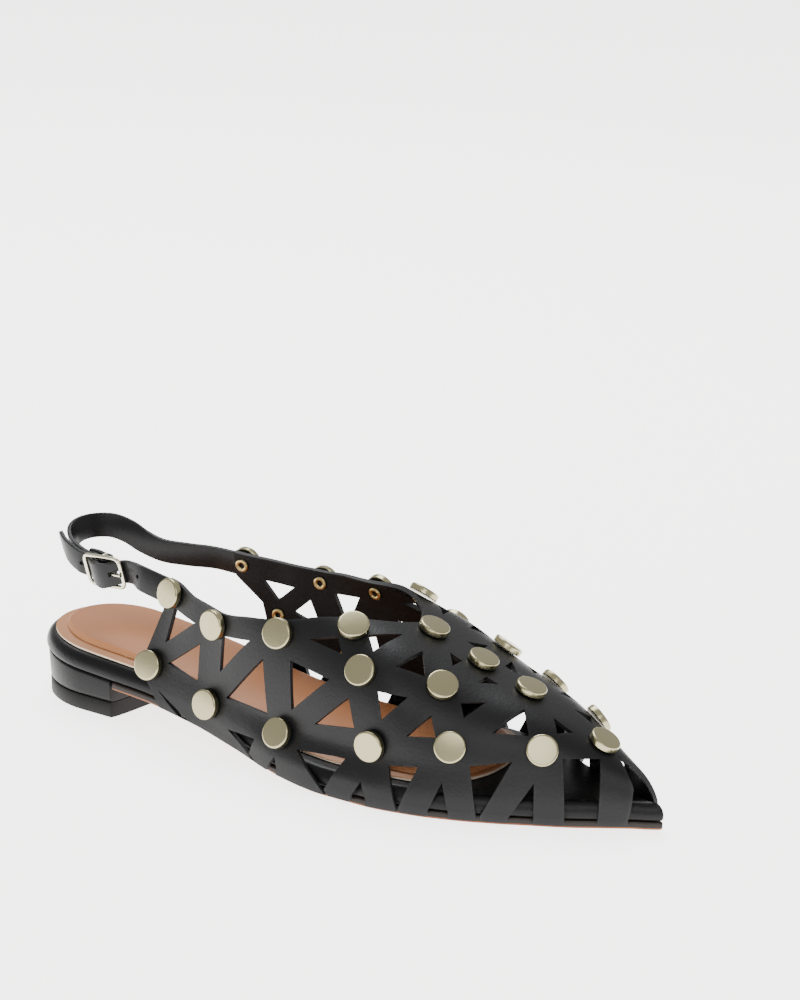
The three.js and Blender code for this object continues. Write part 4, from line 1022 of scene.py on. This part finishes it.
# Slots for the prong, from and to in the buckle's axes with half their width, and the spare holes
HEEL_STRAP_SLOT = (-2.6, 4, 1.1)
PRONG_SLOT = (4.2, 8, 0.9)
SPARE_HOLES = [(-12.6, 1.4, 0.8), (17, -0.3, 0.8)]
HOLE_SIDES = 12
HOLE_IN = 3.2
SLOT_REACH = 9


def world_row(row):
    return share_point(*row[:3]), UPRIGHT, row[3], STRAP_WIDTH


def buckle_row(row):
    wide = row[3] if len(row) > 3 else 1
    return in_buckle(*row[:3]), BUCKLE_TURN @ UPRIGHT, 0, STRAP_WIDTH * wide


def seam_row(side):
    s = seam_at(side) - SEAM_GAP
    outward = outward_at(s, side, SEAM_RISE)
    lean = -math.degrees(math.asin(outward[2]))
    return face_at(s, side, SEAM_RISE) - outward * UPPER_WALL / 2, UPRIGHT, lean, STRAP_WIDTH


# %% Sweep a strap


def spline(points, per_row):
    """A centripetal curve through the points, and the way it heads at each step."""
    points = np.asarray(points)
    ends = 2 * points[[0, -1]] - points[[1, -2]]
    p = np.concatenate([ends[:1], points, ends[1:]])
    knots = np.concatenate([[0], np.cumsum(np.linalg.norm(np.diff(p, axis=0), axis=1) ** 0.5)])
    out, heading = [], []
    for i in range(1, len(p) - 2):
        count = per_row + (1 if i == len(p) - 3 else 0)
        p0, p1, p2, p3 = p[i - 1:i + 3]
        k0, k1, k2, k3 = knots[i - 1:i + 3]
        chord = (p2 - p1) / (k2 - k1)
        leaving = ((p1 - p0) / (k1 - k0) - (p2 - p0) / (k2 - k0) + chord) * (k2 - k1)
        arriving = (chord - (p3 - p1) / (k3 - k1) + (p3 - p2) / (k3 - k2)) * (k2 - k1)
        cubic = 2 * (p1 - p2) + leaving + arriving
        square = -3 * (p1 - p2) - 2 * leaving - arriving
        for t in np.arange(count) / per_row:
            out.append(((cubic * t + square) * t + leaving) * t + p1)
            heading.append((3 * cubic * t + 2 * square) * t + leaving)
    return np.array(out), unit(np.array(heading))


def strap_section(width):
    """Half rounded edges: points round the strap's section, across and out."""
    w, o, r = width / 2, STRAP_WALL / 2, STRAP_ROUND
    corners = []
    for across, out, start in ((-1, -1, 180), (1, -1, 270), (1, 1, 0), (-1, 1, 90)):
        for step in (0, 45, 90):
            a = math.radians(start + step)
            corners.append((across * (w - r) + r * math.cos(a), out * (o - r) + r * math.sin(a)))
    return corners


def sweep_strap(name, rows, material):
    middles, headings = spline([row[0] for row in rows], STRAP_STEPS)
    rings = []
    for i, (middle, ahead) in enumerate(zip(middles, headings)):
        row = min(len(rows) - 2, i // STRAP_STEPS)
        part = i / STRAP_STEPS - row
        up, lean, width = (rows[row][k] * (1 - part) + rows[row + 1][k] * part for k in (1, 2, 3))
        wide = unit(up - ahead * (up @ ahead))
        face = np.cross(ahead, wide)
        across = wide * math.cos(math.radians(lean)) + face * math.sin(math.radians(lean))
        out = np.cross(ahead, across)
        rings.append([middle + across * w + out * o for w, o in strap_section(width)])
    return shade_by_angle(loft(name, rings, material), STRAP_SHARP)


def strap_prism(outline, depth):
    """A cutter through a strap, from an outline in the buckle's axes."""
    face = np.array([in_buckle(u, v, 0) for u, v in outline])
    outward = BUCKLE_TURN @ np.array([0, -1.0, 0])
    return np.stack([face - outward * depth, face + outward * SLOT_REACH])


def slot_prism(start, end, half):
    return strap_prism([(start, -half), (end, -half), (end, half), (start, half)], SLOT_REACH)


def hole_prism(u, v, radius):
    turn = [2 * math.pi * k / HOLE_SIDES for k in range(HOLE_SIDES)]
    return strap_prism([(u + radius * math.cos(a), v + radius * math.sin(a)) for a in turn], HOLE_IN)


heel_rows = [world_row(row) for row in HEEL_STRAP] + [buckle_row(row) for row in HEEL_STRAP_FOLD]
heel_rows.insert(0, seam_row(INNER))
buckle_rows = [buckle_row(row) for row in BUCKLE_STRAP_END]
buckle_rows += [world_row(BUCKLE_STRAP), seam_row(OUTER)]
heel_strap = sweep_strap("heel_strap_leather", heel_rows, black_leather)
buckle_strap = sweep_strap("buckle_strap_leather", buckle_rows, black_leather)
cut_away(heel_strap, [slot_prism(*HEEL_STRAP_SLOT)], cut_edge)
holes = [slot_prism(*PRONG_SLOT)] + [hole_prism(*hole) for hole in SPARE_HOLES]
cut_away(buckle_strap, holes, cut_edge)
for piece, node in ((heel_strap, "heel_strap"), (buckle_strap, "buckle_strap")):
    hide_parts(node)
    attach(piece, "root")
print("straps:", len(heel_strap.data.polygons), len(buckle_strap.data.polygons))

# %% [markdown]
# ## Buckle
# The buckle is bent from wire: a rounded rectangle with a bar across its middle, set back so that
# the strap can pass over it, and a prong whose eye is bent round the bar. Each is a tube swept
# along its own line in the buckle's axes.

# %% Bend the wire
BUCKLE_LENGTH = 20
BUCKLE_HEIGHT = 13.4
BUCKLE_WIRE = 0.8
BUCKLE_CORNER = 2.4
BAR_WIRE = 0.6
BAR_DEPTH = 2.6
PRONG_WIRE = 0.6
PRONG_BEND = 6.2
PRONG_RISE = 1.4
PRONG_PAST = 0.3
WIRE_SIDES = 14
CORNER_STEPS = 8
EYE_STEPS = 24
WIRE_SHARP = 40


def wire(name, line, radius, material, closed=False):
    """A tube along points in the buckle's axes, mitred at its bends."""
    path = np.array([in_buckle(*point) for point in line])
    before = np.roll(path, 1, axis=0) if closed else np.concatenate([path[:1], path[:-1]])
    after = np.roll(path, -1, axis=0) if closed else np.concatenate([path[1:], path[-1:]])
    plane = unit(np.cross(path[1] - path[0], path[len(path) // 2] - path[0]))
    rings = []
    for point, back, front in zip(path, before, after):
        ahead = unit(front - back)
        turned_in = unit(np.cross(plane, ahead))
        into = point - back if np.linalg.norm(point - back) > 0 else front - point
        stretch = 1 / max(0.5, float(unit(into) @ ahead))
        angles = [2 * math.pi * (k + 0.5) / WIRE_SIDES for k in range(WIRE_SIDES)]
        in_plane = turned_in * radius * stretch
        rings.append([point + in_plane * math.cos(a) + plane * radius * math.sin(a) for a in angles])
    return loft(name, rings, material, closed)


def rounded_frame():
    line = []
    straight = BUCKLE_LENGTH / 2 - BUCKLE_WIRE - BUCKLE_CORNER
    upright = BUCKLE_HEIGHT / 2 - BUCKLE_WIRE - BUCKLE_CORNER
    for quarter in range(4):
        along = 1 if quarter in (0, 3) else -1
        upward = 1 if quarter < 2 else -1
        for i in range(CORNER_STEPS + 1):
            a = (quarter + i / CORNER_STEPS) * math.pi / 2
            line.append((along * straight + BUCKLE_CORNER * math.cos(a),
                         upward * upright + BUCKLE_CORNER * math.sin(a), 0))
    return line


bar_end = BUCKLE_HEIGHT / 2 - BUCKLE_WIRE
eye_radius = BAR_WIRE + FIT_GAP + PRONG_WIRE
rest = BUCKLE_WIRE + FIT_GAP + PRONG_WIRE
eye = [(eye_radius * math.cos(a), 0, -BAR_DEPTH + eye_radius * math.sin(a))
       for a in np.linspace(0, 2 * math.pi, EYE_STEPS, endpoint=False)]
bar = [(0, -bar_end, 0), (0, -bar_end, -BAR_DEPTH), (0, bar_end, -BAR_DEPTH), (0, bar_end, 0)]
pin = [(eye_radius, 0, -BAR_DEPTH), (eye_radius + 1, 0, PRONG_RISE - BAR_DEPTH), (PRONG_BEND, 0, rest),
       (BUCKLE_LENGTH / 2 + PRONG_PAST, 0, rest)]
frame_wire = wire("buckle_frame_wire", rounded_frame(), BUCKLE_WIRE, bright_metal, closed=True)
bar_wire = wire("buckle_bar_wire", bar, BAR_WIRE, bright_metal)
eye_wire = wire("prong_eye_wire", eye, PRONG_WIRE, bright_metal, closed=True)
pin_wire = wire("prong_pin_wire", pin, PRONG_WIRE, bright_metal)
wires = (frame_wire, bar_wire, eye_wire, pin_wire)
for piece, node in ((frame_wire, "buckle_frame"), (eye_wire, "buckle_prong")):
    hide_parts(node)
for piece in wires:
    merge_points(piece)
    shade_by_angle(piece, WIRE_SHARP)
    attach(piece, "root")
print("buckle wires:", [len(piece.data.polygons) for piece in wires])

# %% [markdown]
# ## Camera, floor and light
# The photo looks down on the shoe from its outer side, ahead of the toe's flank. The camera's
# angles and focus were found from the studs and the sole's edge, so the render and the photo lie
# over one another.

# %% Camera
CAMERA_AZIMUTH = math.radians(34.06)
CAMERA_ELEVATION = math.radians(20.0)
CAMERA_ROLL = math.radians(2.62)
CAMERA_FOCUS_PX = 3018.68
CAMERA_DISTANCE = 1100.1
CAMERA_TARGET = np.array([130 - TREAD_MIDDLE, 0, 25])
TARGET_PX = (339.76, 688.15)
PHOTO_PX = (800, 1000)
SENSOR = 36
CLIP_END = 20


def photo_camera():
    cos_el = math.cos(CAMERA_ELEVATION)
    level = np.array([math.sin(CAMERA_AZIMUTH), -math.cos(CAMERA_AZIMUTH), 0])
    back = level * cos_el + np.array([0, 0, math.sin(CAMERA_ELEVATION)])
    ahead = -back
    right = unit(np.cross(ahead, [0, 0, 1]))
    up = np.cross(right, ahead)
    turned = right * math.cos(CAMERA_ROLL) + up * math.sin(CAMERA_ROLL)
    up = up * math.cos(CAMERA_ROLL) - right * math.sin(CAMERA_ROLL)
    aside = (TARGET_PX[0] - PHOTO_PX[0] / 2) / CAMERA_FOCUS_PX
    above = -(TARGET_PX[1] - PHOTO_PX[1] / 2) / CAMERA_FOCUS_PX
    yaw, pitch = math.atan2(aside, 1), math.atan2(above, math.hypot(aside, 1))
    forward = ahead * math.cos(yaw) - turned * math.sin(yaw)
    ahead = unit(forward * math.cos(pitch) - up * math.sin(pitch))
    right = unit(np.cross(ahead, up))
    up = np.cross(right, ahead)
    data = bpy.data.cameras.new("photo_camera")
    data.sensor_width = SENSOR
    data.sensor_fit = "AUTO"
    data.lens = CAMERA_FOCUS_PX * SENSOR / max(PHOTO_PX)
    data.clip_end = CLIP_END
    camera = add_object("photo_camera", data)
    where = (CAMERA_TARGET + back * CAMERA_DISTANCE) * MM
    turn = np.eye(4)
    turn[:3, 0], turn[:3, 1], turn[:3, 2], turn[:3, 3] = right, up, -ahead, where
    camera.matrix_world = Matrix(turn.tolist())
    bpy.context.scene.camera = camera
    return camera


camera = photo_camera()
print("camera at", [round(v, 3) for v in camera.matrix_world.translation])

# %% [markdown]
# The studio is white all round: a wide floor under a bright sky, one large softbox overhead and
# behind for the cool satin sheen on the leather, and one low in front for the studs' faces.

# %% Floor and light
FLOOR_HALF = 3000
FLOOR_GLOW = 3.2
SKY = 0.8
AIM = (0.1, 0, 0)
floor_material, floor_shader = principled("studio_floor", 0.7)
set_inputs(floor_shader, {
    "Base Color": (0.93, 0.915, 0.9, 1), "Emission Color": (1, 0.985, 0.97, 1),
    "Emission Strength": FLOOR_GLOW,
})
corners = [(x * FLOOR_HALF, y * FLOOR_HALF, 0) for x, y in ((-1, -1), (1, -1), (1, 1), (-1, 1))]
floor = make_object("studio_floor", corners, [(0, 1, 2, 3)], floor_material)

world = bpy.data.worlds.new("studio")
bpy.context.scene.world = world
world.use_nodes = True
set_inputs(world.node_tree.nodes["Background"], {"Color": (1, 0.99, 0.98, 1), "Strength": SKY})


def area_light(name, where, size, power, color=(1, 1, 1)):
    data = bpy.data.lights.new(name, "AREA")
    data.shape = "RECTANGLE"
    data.size, data.size_y = size
    data.energy = power
    data.color = color
    light = add_object(name, data)
    light.location = where
    light.rotation_euler = (Vector(AIM) - Vector(where)).to_track_quat("-Z", "Y").to_euler()


area_light("key_softbox", (-0.5, 0.5, 1.4), size=(1.0, 1.0), power=26, color=(0.96, 0.98, 1))
area_light("fill_softbox", (0.9, -1.2, 0.9), size=(1.0, 0.8), power=9)
print("lights:", [light.name for light in bpy.data.lights])
